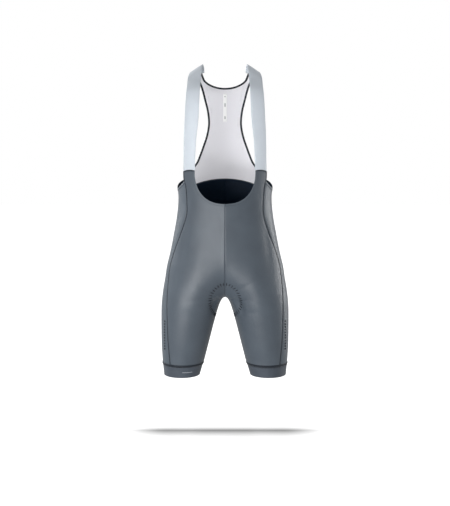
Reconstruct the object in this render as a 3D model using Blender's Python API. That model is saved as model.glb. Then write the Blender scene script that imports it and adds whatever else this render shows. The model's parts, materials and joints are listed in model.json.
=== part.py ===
"""Cycling bib shorts, filled out as worn and hollow inside.

Metres, +Z up, the front faces -Y.  The origin is on the wearer's shoulders, midway
between the tops of the two straps.  Left and right are the wearer's, so the left leg is
on the +X side.  Heights in the tables below are measured up from the hem, and the
finished pieces are lowered by SHOULDER_HEIGHT.
"""
import math
from bisect import bisect_right
from functools import lru_cache

import bmesh
import bpy
from mathutils import Vector

# Driving sizes.
SHOULDER_HEIGHT = 0.858
BAND_HEIGHT = 0.033
PANEL_WALL = 0.0012
MESH_WALL = 0.0010
BAND_WALL = 0.0016
STRAP_WALL = 0.0012
BINDING_WALL = 0.0020
BINDING_WIDTH = 0.0042
PAD_WALL = 0.0060
LABEL_WALL = 0.0010
SEAM_GAP = 0.0004
BLEND = 0.010

# The fitted form.  inner is how near the centre plane each leg's tube comes: below the
# crotch it is the gap beside the centre plane, and negative values join the two tubes.
CROTCH_HEIGHT = 0.2215
FORM = (
    # height, side, inner, front, back
    (0.0000, 0.1735, 0.0712, 0.052, 0.053),
    (0.0330, 0.1765, 0.0618, 0.058, 0.059),
    (0.0900, 0.1792, 0.0474, 0.071, 0.074),
    (0.1500, 0.1796, 0.0326, 0.082, 0.088),
    (0.1900, 0.1790, 0.0221, 0.088, 0.098),
    (0.2080, 0.1778, 0.0163, 0.091, 0.103),
    (0.2215, 0.1765, 0.0100, 0.092, 0.107),
    (0.2500, 0.1725, -0.0110, 0.095, 0.114),
    (0.2750, 0.1680, -0.0390, 0.097, 0.119),
    (0.3100, 0.1625, -0.0810, 0.098, 0.120),
    (0.3500, 0.1527, -0.1170, 0.097, 0.114),
    (0.4000, 0.1427, -0.1365, 0.096, 0.102),
    (0.4500, 0.1338, -0.1338, 0.096, 0.092),
    (0.5000, 0.1293, -0.1293, 0.097, 0.088),
    (0.5400, 0.1332, -0.1332, 0.099, 0.089),
    (0.6000, 0.1400, -0.1400, 0.103, 0.095),
    (0.6600, 0.1500, -0.1500, 0.108, 0.103),
    (0.7200, 0.1580, -0.1580, 0.111, 0.106),
    (0.7800, 0.1620, -0.1620, 0.106, 0.098),
    (0.8200, 0.1600, -0.1600, 0.090, 0.068),
    (0.8500, 0.1520, -0.1520, 0.060, 0.030),
)

# Distance of the two side seams from the centre plane.
SEAMS = (
    # height, front seam, back seam
    (0.000, 0.1510, 0.1420),
    (0.037, 0.1540, 0.1450),
    (0.105, 0.1590, 0.1500),
    (0.159, 0.1605, 0.1505),
    (0.222, 0.1605, 0.1490),
    (0.303, 0.1540, 0.1420),
    (0.346, 0.1434, 0.1340),
    (0.410, 0.1207, 0.1170),
    (0.458, 0.1055, 0.1070),
    (0.489, 0.1042, 0.1060),
    (0.534, 0.1070, 0.1103),
    (0.556, 0.1120, 0.1125),
    (0.582, 0.1126, 0.1125),
)

# Half width of the mesh back, without its binding.
MESH_EDGE = (
    # height, half width
    (0.5220, 0.1089),
    (0.5470, 0.1112),
    (0.5620, 0.1050),
    (0.5925, 0.0812),
    (0.6120, 0.0725),
    (0.6340, 0.0643),
    (0.6680, 0.0529),
    (0.7020, 0.0472),
    (0.7360, 0.0500),
    (0.7700, 0.0580),
    (0.8030, 0.0665),
    (0.8250, 0.0755),
    (0.8400, 0.0840),
)

# Both edges of one strap, from above the front horn, over the shoulder, to the mesh.
STRAP = (
    # outer x, outer y, outer height, inner x, inner y, inner height, bow
    (0.1114, -0.0645, 0.6080, 0.0811, -0.0850, 0.6090, 0.0020),
    (0.1102, -0.0740, 0.6620, 0.0779, -0.0925, 0.6626, 0.0020),
    (0.1074, -0.0810, 0.7154, 0.0717, -0.0985, 0.7156, 0.0018),
    (0.1050, -0.0780, 0.7600, 0.0692, -0.0930, 0.7620, 0.0016),
    (0.1030, -0.0670, 0.7896, 0.0680, -0.0800, 0.7920, 0.0014),
    (0.1013, -0.0550, 0.8057, 0.0669, -0.0650, 0.8095, 0.0012),
    (0.1004, -0.0380, 0.8220, 0.0658, -0.0450, 0.8263, 0.0010),
    (0.0987, -0.0200, 0.8340, 0.0644, -0.0240, 0.8490, 0.0008),
    (0.0954, 0.0000, 0.8433, 0.0620, -0.0010, 0.8650, 0.0005),
    (0.0920, 0.0150, 0.8455, 0.0595, 0.0150, 0.8610, 0.0005),
    (0.0900, 0.0260, 0.8430, 0.0580, 0.0270, 0.8530, 0.0005),
)

# Rows that the front, side and back panels share.  Each rises or falls between the
# inseam or centre seam and the side seams, to spread the rows round the crotch.
LEVELS = (
    # height at the centre, height at the side seams
    (BAND_HEIGHT, BAND_HEIGHT),
    (0.0660, 0.0640),
    (0.1000, 0.0930),
    (0.1330, 0.1200),
    (0.1630, 0.1450),
    (0.1880, 0.1680),
    (0.2060, 0.1880),
    (0.2165, 0.2050),
    (CROTCH_HEIGHT, 0.2200),
    (0.2255, 0.2340),
    (0.2335, 0.2480),
    (0.2460, 0.2630),
    (0.2630, 0.2790),
    (0.2850, 0.2970),
    (0.3150, 0.3220),
    (0.3500, 0.3520),
    (0.3850, 0.3850),
    (0.4200, 0.4200),
)
FAN_START = 0.4200
FAN_ROWS = 4
CORNER_ROWS = 3
HORN_ROWS = 2

# Front neckline, front horns, side top, back seam and back neckline.
NECK_LOW = 0.4916
NECK_DEPTH = 0.0895
NECK_HALF = 0.0820
NECK_POWER = 2.4
NECK_TURN = 0.063
HORN_INNER = 0.0818
HORN_HEIGHT = 0.5770
HORN_SLOPE = -0.003
HORN_ARCH = 0.003
SIDE_TOP_LOW = 0.5250
SIDE_TOP_FRONT = 0.5500
SIDE_TOP_BACK = 0.5490
SIDE_TOP_POWER = 1.7         # how late the top edge rises in front
SIDE_TOP_BACK_POWER = 0.75   # and behind, where it rises at once
BACK_SEAM_HEIGHT = 0.5460
BACK_SEAM_DROP = 0.0240
BACK_SEAM_HALF = 0.1090
ARMHOLE_START = 0.545
ARMHOLE_TRIM = 0.12
BACK_NECK_TOP = 0.8420
BACK_NECK_DEPTH = 0.0395
BACK_NECK_HALF = 0.0640
SHOULDER_SLOPE = -0.006

# Columns across each piece.
CENTRE_COLUMNS = 6
HORN_COLUMNS = 4
SIDE_COLUMNS = 5
BACK_COLUMNS = 9
BAND_COLUMNS = 28
STRAP_COLUMNS = 3
STRAP_END_INNER = 0.0580
STRAP_END_OUTER = 0.0885
STRAP_END_HEIGHT = 0.8450
STRAP_END_SLOPE = -0.0070
STRAP_STEPS = 2
MESH_ROWS = 13
MESH_COLUMNS = (0.0, 0.14, 0.28, 0.41, 0.53, 0.63, 0.71)
MESH_SHOULDER_COLUMNS = 3

# The seat pad, laid round the crotch curve from a centre inside the seat.
PAD_CENTRE_Y = 0.012
PAD_CENTRE_HEIGHT = 0.330
PAD_FRONT_ANGLE = -61
PAD_BACK_ANGLE = 92
PAD_FRONT_HALF = 0.044
PAD_BACK_HALF = 0.066
PAD_ROWS = 14
PAD_COLUMNS = 6
PAD_STEP = 0.0015
PAD_CLEARANCE = 0.0030
PAD_SPREAD = 1.7

# The neck label, on the inside of the mesh.
LABEL_HALF = 0.0053
LABEL_LOW = 0.7075
LABEL_HIGH = 0.7880
LABEL_ROWS = 6
LABEL_CLEARANCE = 0.0013

STRAP_LIFT_SPREAD = 0.5      # how far a strap's bow leans outwards
STRAP_LIFT_HEIGHT = 0.76     # height above which a strap's bow turns upwards
PAD_REACH = 0.2              # farther from the pad's centre than any of the form
PAD_END_INSET = 0.02
PAD_END_POWER = 6
PAD_EDGE_THINNING = 0.7
PAD_EDGE_POWER = 3
NORMAL_STEP = 0.0004         # small steps for slopes of the form
PAD_SLOPE_STEP = 0.0003
ROW_SAMPLES = 28             # samples that measure the cloth along a row
SETTLING_ROUNDS = 12
HALVINGS = 40                # halvings that find a crossing
SHARP_ANGLE = 50
SCREEN_GAMMA = 2.2

COLOURS = {
    # name: sRGB red, green, blue, roughness
    "panel lycra": (0.455, 0.482, 0.518, 0.55),
    "side lycra": (0.440, 0.470, 0.505, 0.55),
    "hem band": (0.300, 0.335, 0.375, 0.60),
    "strap elastic": (0.790, 0.812, 0.835, 0.50),
    "back mesh": (0.830, 0.826, 0.845, 0.70),
    "binding": (0.165, 0.195, 0.235, 0.60),
    "pad foam": (0.200, 0.215, 0.240, 0.80),
    "label": (0.930, 0.930, 0.930, 0.60),
}


def read(table, height, column):
    """Reads a column of a table at any height, on a smooth curve through its rows."""
    heights = [row[0] for row in table]
    values = [row[column] for row in table]
    last = len(table) - 1
    upper = max(1, min(bisect_right(heights, height), last))
    lower = upper - 1

    def slope(row):
        before = max(row - 1, 0)
        after = min(row + 1, last)
        return (values[after] - values[before]) / (heights[after] - heights[before])

    span = heights[upper] - heights[lower]
    t = min(max((height - heights[lower]) / span, 0.0), 1.0)
    return (values[lower] * (1 + 2 * t) * (1 - t) ** 2
            + values[upper] * t * t * (3 - 2 * t)
            + slope(lower) * span * t * (1 - t) ** 2
            - slope(upper) * span * t * t * (1 - t))


@lru_cache(maxsize=None)
def tube(height):
    """Centre and half width of one leg's tube, and its front and back depths."""
    side = math.hypot(read(FORM, height, 1), BLEND)
    inner = read(FORM, height, 2)
    front = read(FORM, height, 3)
    back = read(FORM, height, 4)
    return (side + inner) / 2, (side - inner) / 2, front, back


def on_form(height, angle):
    """Point of the form: angle 0 is the side, negative is in front, positive behind."""
    centre, half, front, back = tube(height)
    across = centre + half * math.cos(angle)
    depth = front if angle < 0 else back
    x = math.sqrt(max(across * across - BLEND * BLEND, 0.0))
    return Vector((x, depth * math.sin(angle), height))


def centre_angle(height):
    """Angle where the form meets the centre plane, or half a turn in a separate leg."""
    centre, half, _, _ = tube(height)
    return math.acos(min(max((BLEND - centre) / half, -1.0), 1.0))


def angle_at(x, height):
    """Angle of the point that is x from the centre plane."""
    centre, half, _, _ = tube(height)
    return math.acos(min(max((math.hypot(x, BLEND) - centre) / half, -1.0), 1.0))


def off_form(x, y, height):
    """Level function of the form: zero on the cloth, positive outside."""
    centre, half, front, back = tube(height)
    across = (math.hypot(x, BLEND) - centre) / half
    along = y / (front if y < 0 else back)
    return across * across + along * along - 1


def outward(point):
    """Unit normal of the form at a point, from small steps each way."""
    slopes = []
    for axis in range(3):
        ahead = list(point)
        behind = list(point)
        ahead[axis] += NORMAL_STEP
        behind[axis] -= NORMAL_STEP
        slopes.append(off_form(*ahead) - off_form(*behind))
    return Vector(slopes).normalized()


@lru_cache(maxsize=None)
def measured_row(height, start, end):
    """Angles from start to end with the cloth length up to each of them."""
    angles = [start + (end - start) * (k / ROW_SAMPLES) ** 2
              for k in range(ROW_SAMPLES + 1)]
    points = [on_form(height, angle) for angle in angles]
    lengths = [0.0]
    for before, after in zip(points, points[1:]):
        lengths.append(lengths[-1] + (after - before).length)
    return angles, lengths


def part_way(height, start, end, share):
    """Point at a share of the cloth's length from one angle to another."""
    angles, lengths = measured_row(height, start, end)
    wanted = share * lengths[-1]
    k = max(1, min(bisect_right(lengths, wanted), len(lengths) - 1))
    t = (wanted - lengths[k - 1]) / max(lengths[k] - lengths[k - 1], 1e-9)
    return on_form(height, angles[k - 1] + (angles[k] - angles[k - 1]) * t)


def settled_height(height, point_at, height_at):
    """Height where a column that rises meets a curved top edge."""
    for _ in range(SETTLING_ROUNDS):
        height = height_at(point_at(height).x)
    return height


def mix(a, b, t):
    return a + (b - a) * t


def level_height(level, share):
    """Height of a shared row at a share of the way from the centre to the side seam."""
    centre, seam = level
    return mix(centre, seam, share * (2 - share))


def neck_height(x):
    """Height of the front neckline at x."""
    flat = 1 - min(x / NECK_HALF, 1.0) ** NECK_POWER
    return NECK_LOW + NECK_DEPTH * (1 - flat ** (1 / NECK_POWER))


def neck_x(height):
    """Half width of the front neckline at a height."""
    rise = 1 - min(max((height - NECK_LOW) / NECK_DEPTH, 0.0), 1.0)
    return min(NECK_HALF * (1 - rise ** NECK_POWER) ** (1 / NECK_POWER), HORN_INNER)


def front_seam_angle(height):
    return -angle_at(read(SEAMS, height, 1), height)


def back_seam_angle(height):
    return angle_at(read(SEAMS, height, 2), height)


def back_seam_height(x):
    """Height of the seam between the back panels and the mesh."""
    return BACK_SEAM_HEIGHT - BACK_SEAM_DROP * (x / BACK_SEAM_HALF) ** 2


def horn_top(share):
    """Height of the horn's top edge, from its inner to its outer corner."""
    return HORN_HEIGHT + HORN_SLOPE * (share - 0.5) + 4 * HORN_ARCH * share * (1 - share)


def horn_point(height, share):
    """Point of the horn between the neckline and the side seam."""
    return part_way(height, -angle_at(neck_x(height), height), front_seam_angle(height),
                    share)


def front_grid():
    """Rows of the front panel from the hem band up, centre front or inseam first."""
    turn_height = neck_height(NECK_TURN)
    seam = front_seam_angle(turn_height)
    centre = -centre_angle(turn_height)
    angles, lengths = measured_row(turn_height, centre, seam)
    turn_angle = -angle_at(NECK_TURN, turn_height)
    before = max(k for k, angle in enumerate(angles) if angle <= turn_angle)
    part = (turn_angle - angles[before]) / (angles[before + 1] - angles[before])
    turn_share = mix(lengths[before], lengths[before + 1], part) / lengths[-1]
    shares = [turn_share * k / CENTRE_COLUMNS for k in range(CENTRE_COLUMNS)]
    shares += [mix(turn_share, 1, k / HORN_COLUMNS) for k in range(HORN_COLUMNS + 1)]

    def row_point(height, share):
        return part_way(height, -centre_angle(height), front_seam_angle(height), share)

    rows = [[row_point(level_height(level, share), share) for share in shares]
            for level in LEVELS]
    tops = []
    for column, share in enumerate(shares):
        if column < CENTRE_COLUMNS:
            tops.append(settled_height(NECK_LOW, lambda h: row_point(h, share),
                                       neck_height))
        else:
            tops.append(turn_height)
    for k in range(1, FAN_ROWS + 1):
        heights = [mix(FAN_START, top, k / FAN_ROWS) for top in tops]
        rows.append([row_point(h, share) for h, share in zip(heights, shares)])
    horn_shares = [column / HORN_COLUMNS for column in range(HORN_COLUMNS + 1)]
    for k in range(1, CORNER_ROWS + 1):
        height = mix(turn_height, SIDE_TOP_FRONT, k / CORNER_ROWS)
        rows.append([None] * CENTRE_COLUMNS
                    + [horn_point(height, share) for share in horn_shares])
    for k in range(1, HORN_ROWS + 1):
        rows.append([None] * CENTRE_COLUMNS
                    + [horn_point(mix(SIDE_TOP_FRONT, horn_top(share), k / HORN_ROWS), share)
                       for share in horn_shares])
    return rows


def side_top(share):
    """Height of the side panel's top edge, low at the side, high at both seams."""
    corner = SIDE_TOP_FRONT if share < 0.5 else SIDE_TOP_BACK
    power = SIDE_TOP_POWER if share < 0.5 else SIDE_TOP_BACK_POWER
    return mix(SIDE_TOP_LOW, corner, abs(2 * share - 1) ** power)


def side_grid():
    """Rows of the side panel, from the front seam round to the back seam."""
    shares = [k / SIDE_COLUMNS for k in range(SIDE_COLUMNS + 1)]

    def row_point(height, share):
        start = front_seam_angle(height)
        end = back_seam_angle(height)
        return on_form(height, mix(start, end, share))

    rows = [[row_point(seam, share) for share in shares] for _, seam in LEVELS]
    middles = [mix(neck_height(NECK_TURN), back_seam_height(BACK_SEAM_HALF), share)
               for share in shares]
    for k in range(1, FAN_ROWS + 1):
        rows.append([row_point(mix(FAN_START, middle, k / FAN_ROWS), share)
                     for middle, share in zip(middles, shares)])
    for k in range(1, CORNER_ROWS + 1):
        rows.append([row_point(mix(middle, side_top(share), k / CORNER_ROWS), share)
                     for middle, share in zip(middles, shares)])
    return rows


def back_grid():
    """Rows of the back panel, from the centre back or inseam out to the side seam."""
    shares = [k / BACK_COLUMNS for k in range(BACK_COLUMNS + 1)]

    def row_point(height, share):
        return part_way(height, centre_angle(height), back_seam_angle(height), share)

    rows = [[row_point(level_height(level, share), share) for share in shares]
            for level in LEVELS]
    tops = [settled_height(BACK_SEAM_HEIGHT, lambda h: row_point(h, share),
                           back_seam_height) for share in shares]
    for k in range(1, FAN_ROWS + 1):
        rows.append([row_point(mix(FAN_START, top, k / FAN_ROWS), share)
                     for top, share in zip(tops, shares)])
    return rows


def band_grid():
    """Rows of the hem band, once round the leg."""
    turn = 2 * math.pi / BAND_COLUMNS
    heights = (0.0, BAND_HEIGHT / 2, BAND_HEIGHT)
    return [[on_form(height, turn * k - math.pi) for k in range(BAND_COLUMNS)]
            for height in heights]


def back_point(x, height):
    """Point on the back of the form, on either side of the centre plane."""
    point = on_form(height, angle_at(abs(x), height))
    return Vector((math.copysign(point.x, x) if x else 0.0, point.y, point.z))


def mesh_top(share):
    """Height of the mesh's top edge: the neckline, then the shoulder seam."""
    corner = BACK_NECK_HALF / read(MESH_EDGE, BACK_NECK_TOP, 1)
    if share >= corner:
        return BACK_NECK_TOP + SHOULDER_SLOPE * (share - corner) / (1 - corner)
    low = BACK_NECK_TOP - BACK_NECK_DEPTH
    high = BACK_NECK_TOP
    for _ in range(HALVINGS):
        middle = (low + high) / 2
        drop = (BACK_NECK_TOP - middle) / BACK_NECK_DEPTH
        edge = BACK_NECK_HALF * math.sqrt(max(1 - drop * drop, 0.0))
        if edge < share * read(MESH_EDGE, middle, 1):
            low = middle
        else:
            high = middle
    return high


def mesh_grid():
    """Rows of the mesh back, from one armhole to the other."""
    corner = BACK_NECK_HALF / read(MESH_EDGE, BACK_NECK_TOP, 1)
    half = list(MESH_COLUMNS)
    half += [mix(corner, 1, k / MESH_SHOULDER_COLUMNS)
             for k in range(MESH_SHOULDER_COLUMNS + 1)]
    shares = [-share for share in reversed(half[1:])] + half
    rows = []
    for k in range(MESH_ROWS + 1):
        row = []
        for share in shares:
            low = back_seam_height(share * BACK_SEAM_HALF)
            height = mix(low, mesh_top(abs(share)), k / MESH_ROWS)
            row.append(back_point(share * read(MESH_EDGE, height, 1), height))
        rows.append(row)
    return rows


def curve_through(points, steps):
    """Points on a smooth curve through the given ones, steps to each stretch."""
    curve = []
    for k in range(len(points) - 1):
        before = points[max(k - 1, 0)]
        start = points[k]
        end = points[k + 1]
        after = points[min(k + 2, len(points) - 1)]
        for step in range(steps):
            t = step / steps
            curve.append(0.5 * (2 * start + (end - before) * t
                                + (2 * before - 5 * start + 4 * end - after) * t ** 2
                                + (3 * start - before - 3 * end + after) * t ** 3))
    curve.append(points[-1].copy())
    return curve


def strap_grid():
    """Rows of the strap, from the horn to the mesh, inner edge first."""
    columns = []
    for column in range(STRAP_COLUMNS + 1):
        share = column / STRAP_COLUMNS
        stations = [horn_point(horn_top(share), share)]
        for outer_x, outer_y, outer_z, inner_x, inner_y, inner_z, bow in STRAP:
            outer = Vector((outer_x, outer_y, outer_z))
            inner = Vector((inner_x, inner_y, inner_z))
            point = inner.lerp(outer, share)
            lift = Vector((point.x * STRAP_LIFT_SPREAD, point.y,
                           max(point.z - STRAP_LIFT_HEIGHT, 0.0)))
            stations.append(point + lift.normalized() * bow * 4 * share * (1 - share))
        stations.append(back_point(mix(STRAP_END_INNER, STRAP_END_OUTER, share),
                                   STRAP_END_HEIGHT + STRAP_END_SLOPE * share))
        columns.append(curve_through(stations, STRAP_STEPS))
    return [list(row) for row in zip(*columns)]


def pad_row(angle, half):
    """Points of the form each side of the crotch curve, in a plane through X."""
    ahead = math.sin(angle)
    down = math.cos(angle)

    def level(x, reach):
        return off_form(x, PAD_CENTRE_Y + reach * ahead, PAD_CENTRE_HEIGHT - reach * down)

    low, high = 0.0, PAD_REACH
    for _ in range(HALVINGS):
        middle = (low + high) / 2
        if level(0.0, middle) < 0:
            low = middle
        else:
            high = middle
    spot = Vector((0.0, high))
    row = [spot]
    reached = 0.0
    for column in range(1, PAD_COLUMNS + 1):
        target = half * (column / PAD_COLUMNS) ** PAD_SPREAD
        steps = max(1, round((target - reached) / PAD_STEP))
        size = (target - reached) / steps
        reached = target
        for _ in range(steps):
            slope = slope_of(level, spot)
            spot = spot + Vector((slope.y, -slope.x)).normalized() * size
            slope = slope_of(level, spot)
            spot = spot - slope * (level(spot.x, spot.y) / slope.length_squared)
        row.append(spot)
    points = [Vector((spot.x, PAD_CENTRE_Y + spot.y * ahead,
                      PAD_CENTRE_HEIGHT - spot.y * down)) for spot in row]
    mirrored = [Vector((-point.x, point.y, point.z)) for point in reversed(points[1:])]
    return mirrored + points


def slope_of(level, spot):
    """Slope of a level function of two values at a spot."""
    step = PAD_SLOPE_STEP
    return Vector((level(spot.x + step, spot.y) - level(spot.x - step, spot.y),
                   level(spot.x, spot.y + step) - level(spot.x, spot.y - step))) / (2 * step)


def pad_grid():
    """Rows of the seat pad from its front end, under the crotch, to its back end."""
    rows = []
    for k in range(PAD_ROWS + 1):
        t = k / PAD_ROWS
        angle = math.radians(mix(PAD_FRONT_ANGLE, PAD_BACK_ANGLE, t))
        along = 2 * mix(PAD_END_INSET, 1 - PAD_END_INSET, t) - 1
        round_end = math.sqrt(1 - along ** PAD_END_POWER)
        widening = t * t * (3 - 2 * t)
        rows.append(pad_row(angle, mix(PAD_FRONT_HALF, PAD_BACK_HALF, widening) * round_end))
    return rows


def label_grid():
    """Rows of the neck label on the back of the form."""
    rows = []
    for k in range(LABEL_ROWS + 1):
        height = mix(LABEL_LOW, LABEL_HIGH, k / LABEL_ROWS)
        rows.append([back_point(side * LABEL_HALF, height) for side in (-1, 0, 1)])
    return rows


def drawn_in(rows, amount, across=True, along=True):
    """Moves the edges of a piece in by the same small amount, for the seam gaps."""
    rows = [list(row) for row in rows]

    def toward(point, other):
        return point + (other - point).normalized() * amount

    if across:
        for row in rows:
            first = next(k for k, point in enumerate(row) if point is not None)
            row[first] = toward(row[first], row[first + 1])
            row[-1] = toward(row[-1], row[-2])
    if along:
        for k in range(len(rows[0])):
            if rows[0][k] is not None:
                rows[0][k] = toward(rows[0][k], rows[1][k])
            last = max(r for r, row in enumerate(rows) if row[k] is not None)
            rows[last][k] = toward(rows[last][k], rows[last - 1][k])
    return rows


def grid_normals(rows):
    """Normals of a free strip, from the points around each point."""
    normals = []
    last_row = len(rows) - 1
    last = len(rows[0]) - 1
    for r, row in enumerate(rows):
        line = []
        for k in range(len(row)):
            along = rows[min(r + 1, last_row)][k] - rows[max(r - 1, 0)][k]
            across = row[min(k + 1, last)] - row[max(k - 1, 0)]
            line.append(across.cross(along).normalized())
        normals.append(line)
    return normals


def form_normals(rows):
    return [[outward(point) if point is not None else None for point in row]
            for row in rows]


def mirrored(rows):
    """The same rows on the other side of the centre plane."""
    return [[Vector((-point.x, point.y, point.z)) if point is not None else None
             for point in row] for row in rows]


def material(name):
    red, green, blue, roughness = COLOURS[name]
    made = bpy.data.materials.new(name)
    made.use_nodes = True
    shader = made.node_tree.nodes["Principled BSDF"]
    linear = [value ** SCREEN_GAMMA for value in (red, green, blue)]
    shader.inputs["Base Color"].default_value = (*linear, 1.0)
    shader.inputs["Roughness"].default_value = roughness
    shader.inputs["Metallic"].default_value = 0.0
    return made


def cloth(name, rows, normals, wall, colour, outside=0.0, closed=False):
    """Makes a closed wall from rows of points: one skin outside, one inside, and rims."""
    mesh = bmesh.new()
    drop = Vector((0.0, 0.0, -SHOULDER_HEIGHT))
    skins = []
    walls = wall if callable(wall) else (lambda r, k: wall)
    for layer in (0, 1):
        skin = []
        for r, (row, row_normals) in enumerate(zip(rows, normals)):
            line = []
            for k, (point, normal) in enumerate(zip(row, row_normals)):
                if point is None:
                    line.append(None)
                    continue
                depth = outside - layer * walls(r, k)
                line.append(mesh.verts.new(point + normal * depth + drop))
            skin.append(line)
        skins.append(skin)
    columns = len(rows[0])
    rims = {}
    for r in range(len(rows) - 1):
        for k in range(columns if closed else columns - 1):
            after = (k + 1) % columns
            corners = ((r, k), (r, after), (r + 1, after), (r + 1, k))
            if any(rows[i][j] is None for i, j in corners):
                continue
            for skin in skins:
                mesh.faces.new([skin[i][j] for i, j in corners])
            for start, end in zip(corners, corners[1:] + corners[:1]):
                if (end, start) in rims:
                    del rims[(end, start)]
                else:
                    rims[(start, end)] = True
    for (i, j), (m, n) in rims:
        mesh.faces.new((skins[0][i][j], skins[0][m][n], skins[1][m][n], skins[1][i][j]))
    bmesh.ops.recalc_face_normals(mesh, faces=mesh.faces)
    data = bpy.data.meshes.new(name)
    mesh.to_mesh(data)
    mesh.free()
    data.shade_smooth()
    data.set_sharp_from_angle(angle=math.radians(SHARP_ANGLE))
    data.materials.append(material(colour))
    made = bpy.data.objects.new(name, data)
    bpy.context.scene.collection.objects.link(made)
    return made


def pair(name, rows, wall, colour, outside=0.0, closed=False, free=False):
    """Makes a left piece and its mirror image on the right."""
    for side, points in (("left", rows), ("right", mirrored(rows))):
        if free:
            normals = grid_normals(rows)
            if side == "right":
                normals = mirrored(normals)
        else:
            normals = form_normals(points)
        cloth(f"{name}_{side}", points, normals, wall, colour, outside, closed)


def binding(name, edge, colour):
    """Makes a binding strip along an edge of the mesh, just outside it.

    edge is a list of points with, for each, the next point inside the mesh.
    """
    inner, outer = [], []
    for k, (point, inside) in enumerate(edge):
        along = edge[min(k + 1, len(edge) - 1)][0] - edge[max(k - 1, 0)][0]
        away = along.cross(outward_both(point)).normalized()
        if away.dot(point - inside) < 0:
            away = -away
        inner.append(point + away * SEAM_GAP)
        outer.append(point + away * (SEAM_GAP + BINDING_WIDTH))
    rows = [list(row) for row in zip(inner, outer)]
    normals = [[outward_both(row[0]), outward_both(row[0])] for row in rows]
    cloth(name, rows, normals, BINDING_WALL, colour, (BINDING_WALL - MESH_WALL) / 2)


def outward_both(point):
    """Normal of the form on either side of the centre plane."""
    normal = outward((abs(point.x), point.y, point.z))
    if point.x < 0:
        normal.x = -normal.x
    return normal


def build_bindings(rows):
    """Neck and armhole bindings, from the mesh's own edge points."""
    top = len(rows) - 1
    shoulder = MESH_SHOULDER_COLUMNS
    columns = len(rows[0])
    neck = range(shoulder, columns - shoulder)
    binding("neck_binding", [(rows[top][k], rows[top - 1][k]) for k in neck], "binding")
    for side, column, inside in (("left", -1, -2), ("right", 0, 1)):
        edge = [(row[column], row[inside]) for row in rows
                if row[column].z > ARMHOLE_START]
        edge[0] = (edge[0][0].lerp(edge[1][0], ARMHOLE_TRIM), edge[0][1])
        binding(f"armhole_binding_{side}", edge, "binding")


def pad_wall(row, column):
    """Thickness of the seat pad: full in the middle, thin at its edge."""
    across = abs(column / PAD_COLUMNS - 1)
    along = abs(2 * row / PAD_ROWS - 1)
    return PAD_WALL * (1 - PAD_EDGE_THINNING * max(across, along) ** PAD_EDGE_POWER)


def build():
    for old in list(bpy.data.objects):
        bpy.data.objects.remove(old, do_unlink=True)
    half_gap = SEAM_GAP / 2
    pair("front", drawn_in(front_grid(), half_gap), PANEL_WALL, "panel lycra")
    pair("side", drawn_in(side_grid(), half_gap), PANEL_WALL, "side lycra")
    pair("back", drawn_in(back_grid(), half_gap), PANEL_WALL, "panel lycra")
    pair("hem_band", drawn_in(band_grid(), half_gap, across=False), BAND_WALL, "hem band",
         closed=True)
    pair("strap", drawn_in(strap_grid(), half_gap, across=False), STRAP_WALL,
         "strap elastic", free=True)
    mesh_rows = drawn_in(mesh_grid(), half_gap)
    normals = [[outward_both(point) for point in row] for row in mesh_rows]
    cloth("mesh_back", mesh_rows, normals, MESH_WALL, "back mesh")
    build_bindings(mesh_rows)
    pad_rows = pad_grid()
    normals = [[outward_both(point) for point in row] for row in pad_rows]
    cloth("seat_pad", pad_rows, normals, pad_wall, "pad foam",
          -(PANEL_WALL + PAD_CLEARANCE))
    label_rows = label_grid()
    normals = [[outward_both(point) for point in row] for row in label_rows]
    cloth("neck_label", label_rows, normals, LABEL_WALL, "label",
          -(MESH_WALL + LABEL_CLEARANCE))


build()
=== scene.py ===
import json
import math

import bpy
import numpy as np
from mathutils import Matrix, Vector

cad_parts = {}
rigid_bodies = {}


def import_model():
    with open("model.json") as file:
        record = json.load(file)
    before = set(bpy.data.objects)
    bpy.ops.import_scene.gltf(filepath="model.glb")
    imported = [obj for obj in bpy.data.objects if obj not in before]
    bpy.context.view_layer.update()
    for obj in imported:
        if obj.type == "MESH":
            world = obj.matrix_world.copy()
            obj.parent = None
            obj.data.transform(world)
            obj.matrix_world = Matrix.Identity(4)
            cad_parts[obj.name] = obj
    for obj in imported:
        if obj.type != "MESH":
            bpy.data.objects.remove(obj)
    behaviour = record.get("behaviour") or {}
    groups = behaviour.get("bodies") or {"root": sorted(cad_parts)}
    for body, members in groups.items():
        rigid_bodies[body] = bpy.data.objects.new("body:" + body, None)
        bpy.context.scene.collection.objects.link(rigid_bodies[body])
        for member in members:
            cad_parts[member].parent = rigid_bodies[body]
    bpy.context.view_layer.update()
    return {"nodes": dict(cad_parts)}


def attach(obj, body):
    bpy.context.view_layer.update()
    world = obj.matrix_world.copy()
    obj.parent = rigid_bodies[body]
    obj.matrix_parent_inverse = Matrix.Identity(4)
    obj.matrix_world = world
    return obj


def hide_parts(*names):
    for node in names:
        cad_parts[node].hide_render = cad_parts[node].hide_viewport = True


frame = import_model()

print("frame loaded:", len(frame["nodes"]), "CAD nodes")

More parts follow.
